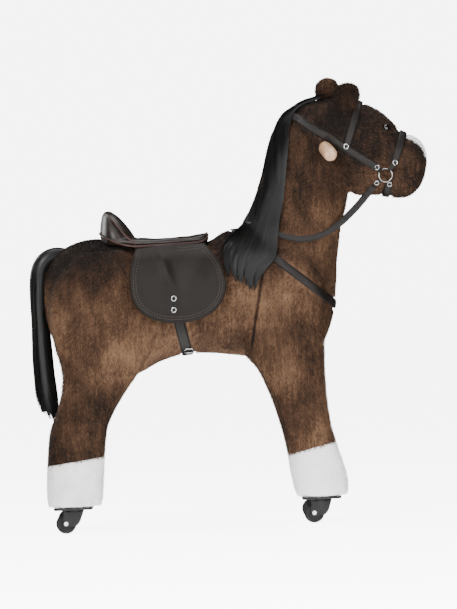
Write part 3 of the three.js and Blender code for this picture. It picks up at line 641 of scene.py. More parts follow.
coats = {}
for end in ("front", "rear"):
    for side, sign in sides:
        low, high = sorted((sign * seams["inner"] * mm, sign * 0.25))
        room = prism("room", seams[end], low, high)
        leg = cutWith(copyOf(stuffed, f"{end}LegCoat"), room, "INTERSECT")
        stuffed = cutWith(stuffed, room, "DIFFERENCE")
        bpy.data.objects.remove(room)
        line = seams["sockFront" if end == "front" else "sockRear"]
        above = prism("above", sockOutline(line, True), low - 0.01, high)
        below = prism("below", sockOutline(line, False), low - 0.01, high)
        coats[end, side, "sock"] = cutWith(copyOf(leg, f"{end}_sock_coat_{side}"), below, "INTERSECT")
        leg.name = f"{end}_leg_coat_{side}"
        coats[end, side, "leg"] = cutWith(leg, above, "INTERSECT")
        bpy.data.objects.remove(above)
        bpy.data.objects.remove(below)
coats["body"] = stuffed
stuffed.name = "body_coat"
print("coats cut:", {str(k): len(o.data.polygons) for k, o in coats.items()})


def skinNumbers(o):  # points, outward directions, triangles and their areas
    p, t = pointsOf(o.data), trianglesOf(o.data)
    face = np.cross(p[t[:, 1]] - p[t[:, 0]], p[t[:, 2]] - p[t[:, 0]])
    n = np.zeros_like(p)
    for k in range(3):
        np.add.at(n, t[:, k], face)
    return p, unit(n), t, np.linalg.norm(face, axis=1) / 2


sideGrid = {"x0": -0.42, "z0": 0.0, "cell": 0.005, "columns": 168, "rows": 184}


def blurred(m, times):
    for _ in range(times):
        q = np.pad(m, 1, mode="edge")
        m = (q[:-2, 1:-1] + q[2:, 1:-1] + q[1:-1, :-2] + q[1:-1, 2:] + 2 * q[1:-1, 1:-1]) / 6
    return m


def sideHeights(points, g):  # the largest |y| over each cell of X and Z, softened
    i = ((points[:, 0] - g["x0"]) / g["cell"]).astype(int)
    j = ((points[:, 2] - g["z0"]) / g["cell"]).astype(int)
    m = np.zeros((g["columns"], g["rows"]))
    np.maximum.at(m, (np.clip(i, 0, g["columns"] - 1), np.clip(j, 0, g["rows"] - 1)), np.abs(points[:, 1]))
    q = np.pad(m, 1, mode="edge")
    near = np.stack([q[a:a + m.shape[0], b:b + m.shape[1]] for a in range(3) for b in range(3)])
    return blurred(np.where(m == 0, near.max(0), m), 3)


def heightAt(m, x, z, g=sideGrid):
    u = np.clip((x - g["x0"]) / g["cell"] - 0.5, 0, g["columns"] - 1.001)
    v = np.clip((z - g["z0"]) / g["cell"] - 0.5, 0, g["rows"] - 1.001)
    i, j = u.astype(int), v.astype(int)
    f, h = u - i, v - j
    lower = m[i, j] * (1 - f) + m[i + 1, j] * f
    upper = m[i, j + 1] * (1 - f) + m[i + 1, j + 1] * f
    return lower * (1 - h) + upper * h


skinPoints, skinOut, skinTris, skinAreas = skinNumbers(wholeSkin)
sideMap = sideHeights(skinPoints, sideGrid)


def loopRadius(centre, top, angles, offset, span, reach=0.005):
    # how far the skin lies from a centre line, all round it, in the slanting plane through the Y axis
    along = unit(np.array([top[0] - centre[0], 0, top[1] - centre[1]]))
    across = np.array([-along[2], 0, along[0]])
    r = skinPoints - np.array([centre[0], 0, centre[1]])
    near = (np.abs(r @ across - offset) < reach) & (np.linalg.norm(r, axis=1) < span)
    a, b = r[near] @ along, r[near, 1]
    around, far = np.arctan2(b, a), np.hypot(a, b)
    d = np.angle(np.exp(1j * (angles[:, None] - around[None])))
    w = np.exp(-(d / 0.06) ** 2) * np.exp((far - 0.1) * 120)[None]
    return (w * far).sum(1) / w.sum(1), along, across


def hideStrip(node, centre, top, width, thickness, lift, ends=None, span=0.4, count=220):
    # a strap that follows the skin in one plane; its ends lie at this height along the top direction
    centre, top = np.array(centre) * mm, np.array(top) * mm
    width, thickness, lift = width * mm, thickness * mm, lift * mm
    angles = np.linspace(-np.pi, np.pi, 361)
    r0, along, across = loopRadius(centre, top, angles, 0.0, span)
    if ends is None:
        angles, closed = np.linspace(-np.pi, np.pi, count, endpoint=False), True
    else:
        limit = np.abs(angles[r0 * np.cos(angles) >= ends * mm]).max()
        angles, closed = np.linspace(-limit, limit, count), False
    edges = [loopRadius(centre, top, angles, s * width / 2, span)[0] for s in (-1, 0, 1)]
    n = 6
    u = np.linspace(-1, 1, n)
    low, mid, high = (e[:, None] for e in edges)
    base = mid + (high - low) / 2 * u + ((high + low) / 2 - mid) * u ** 2
    crown = (1 - np.abs(u) ** 6) * 0.25 * mm
    outer, inner = base + lift + thickness + crown, base + lift
    way = np.cos(angles)[:, None] * along + np.sin(angles)[:, None] * np.array([0, 1, 0])
    start = np.array([centre[0], 0, centre[1]])
    side = across * (u * width / 2)[:, None]
    top_, under = (start + way[:, None] * k[:, :, None] + side[None] for k in (outer, inner))
    lowered = top_ + (under - top_) * np.array([0.35, 0, 0, 0, 0, 0.35])[None, :, None]
    ring = np.concatenate([lowered, under[:, ::-1]], 1)
    rows, around = ring.shape[:2]
    faces = [gridFaces(rows, around, True, closed)]
    if not closed:
        q = np.arange(n - 1)
        for row, flip in ((0, True), (rows - 1, False)):
            cap = row * around + np.stack([q, q + 1, 2 * n - 2 - q, 2 * n - 1 - q], 1)
            faces.append(cap[:, ::-1] if flip else cap)
    o = solid(f"{node}_hide", (ring.reshape(-1, 3), *faces), strapHide)
    keepClear.append((top_[:, 2:4].mean(1), width / 2 + 2.2 * mm))
    return place(o, "horse_body", "strap_leather", node)


keepClear = []
straps = {
    "breast_strap": dict(centre=(109.5, 522), top=(20, 596), width=16, thickness=2.4, lift=3.4),
    "crown_strap": dict(centre=(225, 766), top=(130, 830.5), width=15.5, thickness=2.2, lift=3.2, ends=-98),
    "brow_band": dict(centre=(262, 799), top=(277, 842), width=14.5, thickness=2.0, lift=3.4, ends=-43),
    "nose_band": dict(centre=(353, 746), top=(363, 774), width=14.5, thickness=2.2, lift=2.6, ends=-28.5),
    "chin_strap": dict(centre=(333, 690), top=(324, 655), width=14.5, thickness=2.2, lift=2.4, ends=13,
                       span=0.075),
    "girth_strap": dict(centre=(-112, 440), top=(-92, 344), width=22, thickness=2.6, lift=3.2, ends=-30),
}
for key, values in straps.items():
    hideStrip(key, **values)
keepClear.append((reinRoute, 0.0075))
print("straps laid")


def turned(p, around):  # rows of radius and height, each carried round the Y axis
    a = fullTurn(around)
    return np.stack([p[:, :1] * np.cos(a), np.repeat(p[:, 1:], around, 1), p[:, :1] * np.sin(a)], -1)


def lathed(profile, around=28):  # a profile of radius and height, turned and closed on its axis
    p = np.asarray(profile, float) * mm
    rows = turned(p[1:-1], around)
    return cappedTube(rows, [[0, p[0, 1], 0], [0, p[-1, 1], 0]])


def ringTube(middle, radius, wire, around=36, section=10):  # a ring of round wire standing across the Y axis
    a = fullTurn(around)
    b = fullTurn(section)
    r = radius + wire * np.cos(b)[None]
    across = np.repeat(wire * np.sin(b)[None], around, 0)
    p = np.stack([r * np.cos(a)[:, None], across, r * np.sin(a)[:, None]], -1)
    return (p * mm).reshape(-1, 3) + middle, gridFaces(around, section, True, True), np.empty((0, 3), int)


def gathered(name, pieces, *materials):  # several sets of points and faces as one object
    points, quads, tris, base = [], [], [], 0
    for p, q, t in pieces:
        points.append(p)
        quads.append(q + base)
        tris.append(t + base)
        base += len(p)
    me = meshOf(name, *(np.concatenate(k) for k in (points, quads, tris)))
    return addObject(name, me, *materials)


def turnedTo(p, out):  # points drawn about +Y, turned so that +Y lies along out
    turn = Vector((0, 1, 0)).rotation_difference(Vector(out)).to_matrix()
    return p @ np.array(turn).T


def sideNormal(x, z, sign):  # the skin's outward direction at a place on one side
    e = 0.008
    dx = (heightAt(sideMap, x + e, z) - heightAt(sideMap, x - e, z)) / (2 * e)
    dz = (heightAt(sideMap, x, z + e) - heightAt(sideMap, x, z - e)) / (2 * e)
    return unit(np.array([-float(dx), sign, -float(dz)]))


# ring rivets, the ring of the bit with its four leather tabs, and snaps
rivets = {"cheek": (307, 711), "rein": (305, 680), "chin": (331, 676), "nose": (344, 719)}
bitRing = {
    "middle": (323.5, 694.7), "radius": 13.6, "wire": 1.2, "tab": 8.5, "tabThickness": 2.4, "domes": 0.76,
}
domeProfile = [(0, -2), (6.6, -2), (7.6, 0.2), (7.4, 1.5), (6.2, 2.5), (4.8, 2.3), (3.9, 1.2), (3.7, 0.2),
               (0, 0.2)]
# the black disc set in each eyelet's hole is painted shade
shadeDiscProfile = [(0, 0), (3.6, 0), (3.6, 0.8), (0, 1.1)]
shadeDiscs = {"left": [], "right": []}


def onSkin(x, z, sign, lift):
    x, z = x * mm, z * mm
    return np.array([x, sign * (float(heightAt(sideMap, x, z)) + lift * mm), z])


# the dark hole is a black plastic disc, painted as the shade inside the rivet
def eyelet(side, at, out, scale):  # a ring rivet, and the dark hole in its middle
    p, q, t = lathed(shadeDiscProfile, 20)
    shadeDiscs[side].append((turnedTo(p * scale, out) + at, q, t))
    p, q, t = lathed(domeProfile)
    return turnedTo(p * scale, out) + at, q, t


def bitLink(side, sign):
    metal, tabs = [], []
    middle = onSkin(*bitRing["middle"], sign, 5.6)
    for rivet in rivets.values():
        at, out = onSkin(*rivet, sign, 6.0), sideNormal(*(np.array(rivet) * mm), sign)
        metal.append(eyelet(side, at, out, bitRing["domes"]))
        # a leather tab runs from under the rivet and over the ring's wire
        reach = (bitRing["radius"] - 1.5) * mm / np.linalg.norm(at - middle)
        under, over = at - out * 1.8 * mm, middle + (at - middle) * reach
        line = mix(under[None], over[None], np.linspace(-0.3, 1, 12)[:, None])
        line += out * 1.6 * mm * np.sin(np.linspace(0, np.pi, 12))[:, None]
        across = np.repeat(unit(np.cross(line[-1] - line[0], out))[None], 12, 0)
        tabs.append(bandAlong(line, across, bitRing["tab"] * mm, bitRing["tabThickness"] * mm, 4))
    metal.append(ringTube(middle, bitRing["radius"], bitRing["wire"]))
    place(gathered(f"bit_tabs_{side}", tabs, strapHide), "horse_body", "strap_leather")
    return place(gathered(f"bit_ring_{side}", metal, nickelPlate), "horse_body", "nickel", f"bit_link_{side}")


def rivetAt(name, side, at, out, scale, *replaced):
    o = addObject(name, meshOf(name, *eyelet(side, at, out, scale)), nickelPlate)
    return place(o, "horse_body", "nickel", *replaced)


for side, sign in sides:
    bitLink(side, sign)
    rivetAt(f"brow_eyelet_{side}", side, onSkin(246, 756, sign, 6.4), sideNormal(0.246, 0.756, sign), 0.80)
print("metal made")

saddle = {
    "pad": [(-40, 588, -40, 580, 0, 40), (-48, 594, -48, 573, 0, 60), (-75, 593, -75, 571, 0, 73),
            (-125, 590, -125, 569, 0, 85), (-185, 591, -185, 569, 0, 92), (-225, 598, -225, 574, 0, 88),
            (-248, 601, -248, 580, 0, 66), (-255, 597, -255, 587, 0, 42)],
    "cantle": [(-176, 576, -256, 576, 0, 87), (-186, 590, -259, 590, 0, 84), (-193, 603, -260, 603, 0, 79),
               (-201, 615, -259, 615, 0, 72), (-210, 627, -257, 627, 0, 63),
               (-222, 637.5, -254, 637.5, 0, 50), (-236, 645, -249, 645, 0, 30)],
    "rim": [(-44, 30, 594), (-42, 44, 589), (-46, 55, 582), (-56, 65, 577), (-80, 74, 575),
            (-120, 84.5, 574), (-160, 90.5, 573), (-190, 93, 573), (-212, 92, 577), (-234, 84, 585),
            (-252, 66, 594), (-259, 40, 600), (-260, 0, 603)],
    "ridge": [(-188, 91, 577), (-203, 87, 590), (-216, 80.5, 605), (-227, 72, 619), (-236, 61, 630.5),
              (-243, 44, 639), (-246, 22, 643), (-247, 0, 644)],
    "flap": {"start": (-188, 574), "rear": [(-202, 520), (-203, 488)], "front": [(-20, 535), (-50, 574)],
             "bezier": [(-203, 440, -160, 415, -108, 415), (-50, 415, -9, 445, -9, 495)]},
    "flapSide": [(86, 574), (94, 566), (112, 545), (125, 512), (131, 476), (133, 445), (132, 412)],
    "thickness": 3.6, "piping": 2.3, "stitch": (3.4, 0.9, 2.1),
    "snaps": [("upper", -116, 465), ("lower", -117, 442)],
}


def seatForm(s):
    pad = closedForm("pad", *ovalForm(s["pad"], 60, 60, 3.0))
    parts = [pad, closedForm("cantle", *ovalForm(s["cantle"], 40, 60, 2.6))]
    o = joined("saddle_cushion", parts)
    addModifier(o, "REMESH", mode="VOXEL", voxel_size=0.0026)
    addModifier(o, "SMOOTH", factor=0.5, iterations=10)
    finished(o)
    p = pointsOf(o.data)
    # the seat dips along its middle and carries a few soft waves across
    top = ease((p[:, 2] - 0.580) / 0.008)
    dish = np.exp(-(p[:, 1] / 0.040) ** 2) * ease((p[:, 0] + 0.245) / 0.05) * ease((-0.045 - p[:, 0]) / 0.03)
    wave = np.sin(p[:, 0] * 95 + 1.4 * np.sin(p[:, 1] * 40)) * 0.0010
    wave += np.sin(p[:, 0] * 41 + p[:, 1] * 60) * 0.0008
    p[:, 2] += top * (wave - 0.007 * dish)
    o.data.vertices.foreach_set("co", p.astype(np.float32).ravel())
    me = o.data
    me.update()
    me.polygons.foreach_set("use_smooth", np.ones(len(me.polygons), bool))
    me.materials.append(saddleHide)
    place(o, "horse_body", "saddle_leather", "saddle_seat")


def roundTube(line, radius, section=10):  # a tube of one radius along an open or closed line
    way = unit(np.gradient(line, axis=0))
    side = unit(np.cross(way, np.array([0.3, 0.1, 1.0])))
    up = np.cross(way, side)
    b = fullTurn(section)
    c, d = (f[None, :, None] for f in (np.cos(b), np.sin(b)))
    p = line[:, None] + radius * (side[:, None] * c + up[:, None] * d)
    return cappedTube(p, line[[0, -1]])


def bothWays(points, count):  # a line drawn on the left, carried over the middle to the right
    half = np.array(points, float) * mm
    return byLength(through(np.concatenate([half, mirroredPoints(half)[::-1][1:]]), 600), count)


def bezierTo(start, b, count):
    t = np.linspace(0, 1, count)[1:, None]
    p = [np.array(start, float)] + [np.array(b[i:i + 2], float) for i in (0, 2, 4)]
    return p[0] * (1 - t) ** 3 + 3 * p[1] * t * (1 - t) ** 2 + 3 * p[2] * t * t * (1 - t) + p[3] * t ** 3


def flapOutline(f, count=240):
    line = [np.array([f["start"], *f["rear"]], float)]
    line[0] = through(line[0], 20)
    for b in f["bezier"]:
        line.append(bezierTo(line[-1][-1], b, 30))
    line.append(through(np.array([line[-1][-1], *f["front"]]), 20)[1:])
    edge = np.concatenate(line) * mm
    return byLength(np.concatenate([edge, edge[:1]]), count + 1)[:-1]


def flapHeight(x, z, s):  # how far out the flap lies, with a soft fold that runs down to the snaps
    side = through(s["flapSide"], 200)[::-1] * mm
    y = np.interp(z, side[:, 1], side[:, 0])
    belowSeat = ease((0.572 - z) / 0.03)
    fold = np.exp(-((x + 0.136 - (0.553 - z) * 0.253) / 0.009) ** 2) * belowSeat * ease((z - 0.470) / 0.03)
    second = np.exp(-((x + 0.060 + (0.56 - z) * 0.22) / 0.020) ** 2) * belowSeat * ease((z - 0.440) / 0.08)
    return y + 0.0044 * fold + 0.0030 * second


def flapStitches(side, sign, edge, s):
    # two rows along the flap's free edge, each stitch a short bead of thread
    middle = edge.mean(0)
    length, wide, pitch = (k * mm for k in s["stitch"])
    beads = []
    for inset in (0.0075, 0.0125):
        inward = unit(middle - edge)
        along = byLength((edge + inward * inset)[2:-34], 420)
        total = np.linalg.norm(np.diff(along, axis=0), axis=1).sum()
        at = byLength(along, int(total / (length + pitch)))
        way = unit(np.gradient(at, axis=0))
        beads.append((at, way))
    at, way = (np.concatenate([b[k] for b in beads]) for k in (0, 1))
    y = flapHeight(at[:, 0], at[:, 1], s) + s["thickness"] * mm
    centre = np.stack([at[:, 0], y, at[:, 1]], 1)
    w = np.stack([way[:, 0], way[:, 0] * 0, way[:, 1]], 1)
    across = np.stack([-way[:, 1], way[:, 0] * 0, way[:, 0]], 1)
    t = np.array([[-0.5, 0, 0], [0.5, 0, 0]])
    ring = np.array([[k, wide / 2 * math.cos(q), wide / 2 * math.sin(q)] for k in (-0.34, 0.34) for q in
                     (0.79, 2.36, 3.93, 5.5)])
    shape = np.concatenate([t, ring])
    local = centre[:, None] + w[:, None] * (shape[:, 0] * length)[None, :, None] \
        + across[:, None] * shape[:, 1][None, :, None] + np.array([0, 1, 0]) * shape[:, 2][None, :, None]
    ends = np.array([[0, 3, 2], [0, 4, 3], [0, 5, 4], [0, 2, 5], [1, 6, 7], [1, 7, 8], [1, 8, 9], [1, 9, 6]])
    walls = np.array([[2, 3, 7, 6], [3, 4, 8, 7], [4, 5, 9, 8], [5, 2, 6, 9]])
    base = (np.arange(len(centre)) * 10)[:, None, None]
    local[..., 1] *= sign
    parts = local.reshape(-1, 3), (walls[None] + base).reshape(-1, 4), (ends[None] + base).reshape(-1, 3)
    place(solid(f"flap_stitches_{side}", parts, threadDark), "horse_body", "saddle_leather")


def flap(side, sign, s):
    edge = flapOutline(s["flap"])
    middle = edge.mean(0)
    share = 1 - np.linspace(1, 0, 26) ** 1.7
    xz = middle + (edge - middle)[None] * share[1:, None, None]
    x, z = xz[..., 0], xz[..., 1]
    inner = flapHeight(x, z, s)
    rounding = np.clip((share[1:, None] - 0.965) / 0.035, 0, 1) ** 2
    outer = inner + s["thickness"] * mm * (1 - 0.45 * rounding)
    outerPoints = np.stack([x, outer, z], -1).reshape(-1, 3)
    innerPoints = np.stack([x, inner + 0.3 * mm * rounding, z], -1).reshape(-1, 3)
    m = flapHeight(middle[0], middle[1], s)
    centres = [[middle[0], m + s["thickness"] * mm, middle[1]], [middle[0], m, middle[1]]]
    p = np.concatenate([outerPoints, innerPoints, centres])
    rows, around = x.shape
    one = gridFaces(rows, around, True)
    a, n = np.arange(around), rows * around
    rim = np.stack([(rows - 1) * around + a, (rows - 1) * around + (a + 1) % around,
                    n + (rows - 1) * around + (a + 1) % around, n + (rows - 1) * around + a], 1)
    fans = np.concatenate([fanFaces(a, 2 * n, True), fanFaces(a + n, 2 * n + 1)])
    p[:, 1] *= sign
    o = solid(f"flap_{side}", (p, one, one[:, ::-1] + n, rim, fans), flapHide)
    place(o, "horse_body", "saddle_leather", f"saddle_flap_{side}")
    flapStitches(side, sign, edge, s)
    for name, x0, z0 in s["snaps"]:
        out = np.array([0, sign, 0])
        y0 = float(flapHeight(x0 * mm, z0 * mm, s)) + s["thickness"] * mm + 1.4 * mm
        at = np.array([x0 * mm, sign * y0, z0 * mm])
        rivetAt(f"snap_{name}_{side}", side, at, out, 0.82, f"flap_snap_{name}_{side}")


seatForm(saddle)
for side, sign in sides:
    flap(side, sign, saddle)
rim, ridge = bothWays(saddle["rim"], 220), bothWays(saddle["ridge"], 140)
rimTube = roundTube(np.concatenate([rim, rim[:1]]), saddle["piping"] * mm)
piping = outward(gathered("saddle_piping", [rimTube, roundTube(ridge, saddle["piping"] * mm)], pipingHide))
place(piping, "horse_body", "saddle_leather")


girthRing = {"x": -90, "y": -56, "halfLength": 8.5, "halfWidth": 8.0, "wire": 1.7, "drop": 0.0075}


def girthBuckle(g):
    # a small frame of round wire round the girth strap, low on the right side
    a = np.linspace(0, 2 * np.pi, 60)
    x = g["x"] + g["halfLength"] * signedPower(np.cos(a), 0.5)
    y = g["y"] + g["halfWidth"] * signedPower(np.sin(a), 0.5)
    low = skinPoints[(skinPoints[:, 0] > -0.12) & (skinPoints[:, 0] < -0.07) & (skinPoints[:, 2] < 0.40)]
    order = np.argsort(low[:, 1])
    z = np.interp(y * mm, low[order, 1], blurredLine(low[order, 2], 25)) - g["drop"]
    o = solid("girth_ring", roundTube(np.stack([x * mm, y * mm, z], 1), g["wire"] * mm), nickelPlate)
    place(o, "horse_body", "nickel", "girth_buckle")


girthBuckle(girthRing)
# black discs in the eyelets and snaps, painted as the shade in their holes
for side, made in shadeDiscs.items():
    place(gathered(f"eyelet_holes_{side}", made, blackPlastic), "horse_body", "black_plastic")
print("saddle made")

# where each ear stands, half its width, its height and its lean
earSet = {"right": (249, -40, 826, 26.0, 56, 0.08), "left": (215, 40, 838, 24.0, 58, 0.02)}


def ear(side, x, y, z, wide, tall, lean):
    # a rounded tab, hollowed on its outer side: width follows a half ellipse over the height
    rows, around = 40, 48
    h = np.linspace(0, 1, rows)[:, None]
    a = fullTurn(around)[None]
    roundTop = np.sqrt(np.clip(1 - np.clip((h - 0.45) / 0.55, 0, 1) ** 3.2, 0, 1))
    half = wide * roundTop * mix(0.80, 1.0, ease(h / 0.6))
    thick = 7.0 * np.sqrt(np.clip(1 - h ** 6, 0.0, 1))
    sign = 1 if side == "left" else -1
    u = signedPower(np.cos(a), 0.9)
    px = half * u
    outer = np.sin(a) * sign > 0
    hollow = np.where(outer, 6.5 * (1 - u ** 2) * np.sin(np.pi * np.clip(h, 0, 1)) ** 0.7, 0)
    bend = sign * 9.0 * (px / wide) ** 2 + sign * 6.0 * h ** 2
    py = thick * np.sin(a) - sign * hollow + bend
    pz = tall * h + 0 * a
    p = np.stack([px + lean * pz, py, pz], -1) * mm + np.array([x, y, z]) * mm
    o = solid(f"{side}_ear_pad", cappedTube(p, [p[0].mean(0), p[-1].mean(0)]), brownBacking)
    place(o, "horse_body", "brown_plush", f"ear_{side}")
    return o


ears = {side: ear(side, *values) for side, values in earSet.items()}


def eye(side, sign):
    at, out = onSkin(329, 790, sign, 0.0), sideNormal(0.329, 0.790, sign)
    a = np.linspace(0, np.pi, 22)
    ball = np.stack([7.0 * np.sin(a), 5.0 * -np.cos(a)], 1)
    p, q, t = lathed(ball, 40)
    o = solid(f"eye_ball_{side}", (turnedTo(p, out) + at + out * 2.6 * mm, q, t), glassEye)
    place(o, "horse_body", "eye_gloss", f"eye_{side}")
    return at


eyePlaces = [eye(side, sign) for side, sign in sides]

gripSet = {
    "start": (203, 46, 756), "way": (0.19, 0.93, -0.30), "largest": 14.2,
    "profile": [(0, -8), (13.4, -8), (14, -6), (14, 12), (14.1, 30), (14, 48), (13.3, 52.5), (11.2, 56),
                (7.6, 58), (0, 58.6)],
}


def gripLine(sign):  # where a grip starts, and which way it points
    mirror = np.array([1, sign, 1])
    return np.array(gripSet["start"]) * mm * mirror, unit(np.array(gripSet["way"]) * mirror)


def woodGrip(side, sign):
    at, way = gripLine(sign)
    fine = through(gripSet["profile"], 46)
    fine[0, 0] = fine[-1, 0] = 0
    fine[:, 0] = np.clip(fine[:, 0], 0, gripSet["largest"])
    p, q, t = lathed(fine, 48)
    o = solid(f"wood_grip_{side}", (turnedTo(p, way) + at, q, t), gripBeech)
    place(o, "horse_body", "grip_wood", f"handle_grip_{side}")


for side, sign in sides:
    woodGrip(side, sign)
print("ears, eyes and grips made")

# mane and tail are ribbons of hair over a dark backing
maneSet = {
    "back": [(214, 861), (186, 857), (162, 850), (142, 839), (122, 825), (108, 806), (97, 780), (89, 755),
             (80, 725), (73, 695), (63, 668), (51, 640), (38, 615), (25, 600), (8, 584), (-8, 566),
             (-13, 545), (-12, 518), (-2, 492)],
    "front": [(213, 858), (187, 852), (166, 845), (147, 830), (140, 813), (131, 797), (126, 757), (120, 718),
              (116, 690), (112, 660), (107, 641), (102, 620), (98, 604), (94, 576), (94, 555), (84, 532),
              (70, 516), (60, 496), (54, 472)],
    "locks": 84, "perLock": 44, "steps": 27, "width": 1.5,
}


def ribbons(name, lines, across, width, shades, material):
    # flat strands: each line is widened along its own across direction and narrows to its tip
    count, steps = lines.shape[:2]
    t = np.linspace(0, 1, steps)
    taper = (0.55 + 0.45 * ease(t / 0.12)) * np.clip((1 - t) / 0.16, 0.06, 1) ** 0.7
    w = (width[:, None] * taper / 2)[..., None]
    p = np.stack([lines - across * w, lines + across * w], 2)
    i, j = np.meshgrid(np.arange(count), np.arange(steps - 1), indexing="ij")
    k = (i * steps + j) * 2
    me = meshOf(name, p.reshape(-1, 3), np.stack([k, k + 1, k + 3, k + 2], -1).reshape(-1, 4))
    o = addObject(name, me, material)
    setNumbers(me, "shade", np.repeat(shades, steps * 2))
    setUv(me, np.stack([np.repeat(shades * 7, steps * 2), np.tile(np.repeat(t, 2), count)], 1))
    return o


def maneSurface(t, u, lift, s=maneSet):  # t runs from the poll to the shoulder, u from the crest forwards
    back, front = (through(s[k], 400) * mm for k in ("back", "front"))
    at = np.linspace(0, 1, 400)
    b, f = (np.stack([np.interp(t, at, k[:, 0]), np.interp(t, at, k[:, 1])], -1) for k in (back, front))
    xz = mix(b, f, u[..., None])
    wrap = mix(ease((u + 0.02) / 0.35) ** 0.5, 1.0, ease((t - 0.66) / 0.12))
    y = heightAt(sideMap, xz[..., 0], xz[..., 1]) * wrap
    y = y + 0.0075 * np.exp(-((xz[..., 1] - 0.592) / 0.045) ** 2)
    y = y + 0.003 * np.exp(-((xz[..., 1] - 0.815) / 0.03) ** 2)
    return np.stack([xz[..., 0], -(y + lift), xz[..., 1]], -1)


def mane(s):
    rng = np.random.default_rng(7)
    # each lock leaves the crest at its own height and gathers towards one lane
    locks, per, steps = s["locks"], s["perLock"], s["steps"]
    inOrder = locks * 3 // 4
    begin = np.concatenate([np.linspace(0.0, 0.66, inOrder), rng.uniform(0.0, 0.60, locks - inOrder)])
    lane = np.clip(1.0 - begin / 0.60 + rng.normal(0, 0.10, locks), 0.0, 1.0)
    end = 1.0 - 0.10 * np.abs(lane - 0.75) + rng.uniform(-0.09, 0.03, locks) - 0.06 * (lane < 0.2)
    swing = rng.normal(0, 0.035, locks)
    b = np.repeat(begin, per) + rng.uniform(-0.02, 0.02, locks * per)
    spread = rng.normal(0, 1, locks * per)
    e = np.repeat(end, per) - np.abs(spread) * 0.012 - rng.exponential(0.014, locks * per)
    t01 = np.linspace(0, 1, steps)[None]
    t = np.clip(b[:, None], 0, 1) + (e - b)[:, None] * t01
    gather = mix(0.060, 0.016, ease(t01 * 1.2 - 0.2))
    u = np.repeat(lane, per)[:, None] * ease(t01 / 0.42) + spread[:, None] * gather * ease(t01 / 0.2)
    wander = np.sin(t01 * 5 + np.repeat(begin, per)[:, None] * 40)
    u = np.clip(u + np.repeat(swing, per)[:, None] * wander, -0.05, 1.06)
    depth = rng.uniform(0, 1, locks * per)
    lift = (0.0066 + 0.0050 * depth[:, None] + 0.0016 * np.sin(np.repeat(lane, per)[:, None] * 50) * t01)
    lift = lift - 0.004 * ease((t01 - 0.85) / 0.15)
    lines = maneSurface(np.clip(t, 0, 1), u, lift)
    # strands start on the far side of the crest and come over it
    over = (1 - ease(t01 / 0.07))[..., None]
    lines = lines + over * np.array([0.0, 0.010, 0.004])
    way = unit(np.gradient(lines, axis=1))
    across = unit(np.cross(way, np.array([0.25, -1.0, 0.15])))
    width = rng.uniform(0.8, 1.3, locks * per) * s["width"] * mm
    shades = 0.6 * np.repeat(rng.uniform(0, 1, locks), per) + 0.4 * rng.uniform(0, 1, locks * per)
    o = ribbons("mane_hair", lines, across, width, shades, blackHair)
    place(o, "horse_body", "black_hair", "mane")
    # the backing is a thin closed sheet under the strands
    rows, columns = 120, 26
    tt, uu = np.meshgrid(np.linspace(0.03, 0.945, rows), np.linspace(0.0, 0.93, columns), indexing="ij")
    rag = 0.030 * np.sin(uu * 23) * (tt > 0.9) * (tt - 0.9) / 0.05
    down, forward = np.clip(tt + rag, 0, 1), uu * 0.97 + 0.012
    sheets = [maneSurface(down, forward, k + 0 * tt).reshape(-1, 3) for k in (0.0062, 0.0040)]
    n = rows * columns
    q = gridFaces(rows, columns)
    back, top = np.arange(rows) * columns, np.arange(columns)
    walls = []
    for edge in (back, (back + columns - 1)[::-1], top[::-1], top + n - columns):
        walls.append(np.stack([edge[:-1], edge[1:], edge[1:] + n, edge[:-1] + n], 1))
    backing = solid("mane_backing", (np.concatenate(sheets), q, q[:, ::-1] + n, *walls), hairBacking)
    place(backing, "horse_body", "black_hair")


tailSet = {
    "middle": [(-312, 0, 554), (-330, 0, 562), (-352, 0, 561), (-371, 0, 552), (-383, 0, 535),
               (-388, 0, 510), (-390, 0, 468), (-389, 0, 420), (-388, 0, 370), (-386, 0, 320),
               (-382, 0, 270), (-370, 0, 206)],
    "halves": [(6, 10), (12, 16), (17, 21), (19, 25), (19, 27), (19, 29), (18, 29), (18, 29), (20, 29),
               (21, 28), (22, 26), (12, 18)],
    "strands": 2600, "steps": 30, "width": 1.7,
}


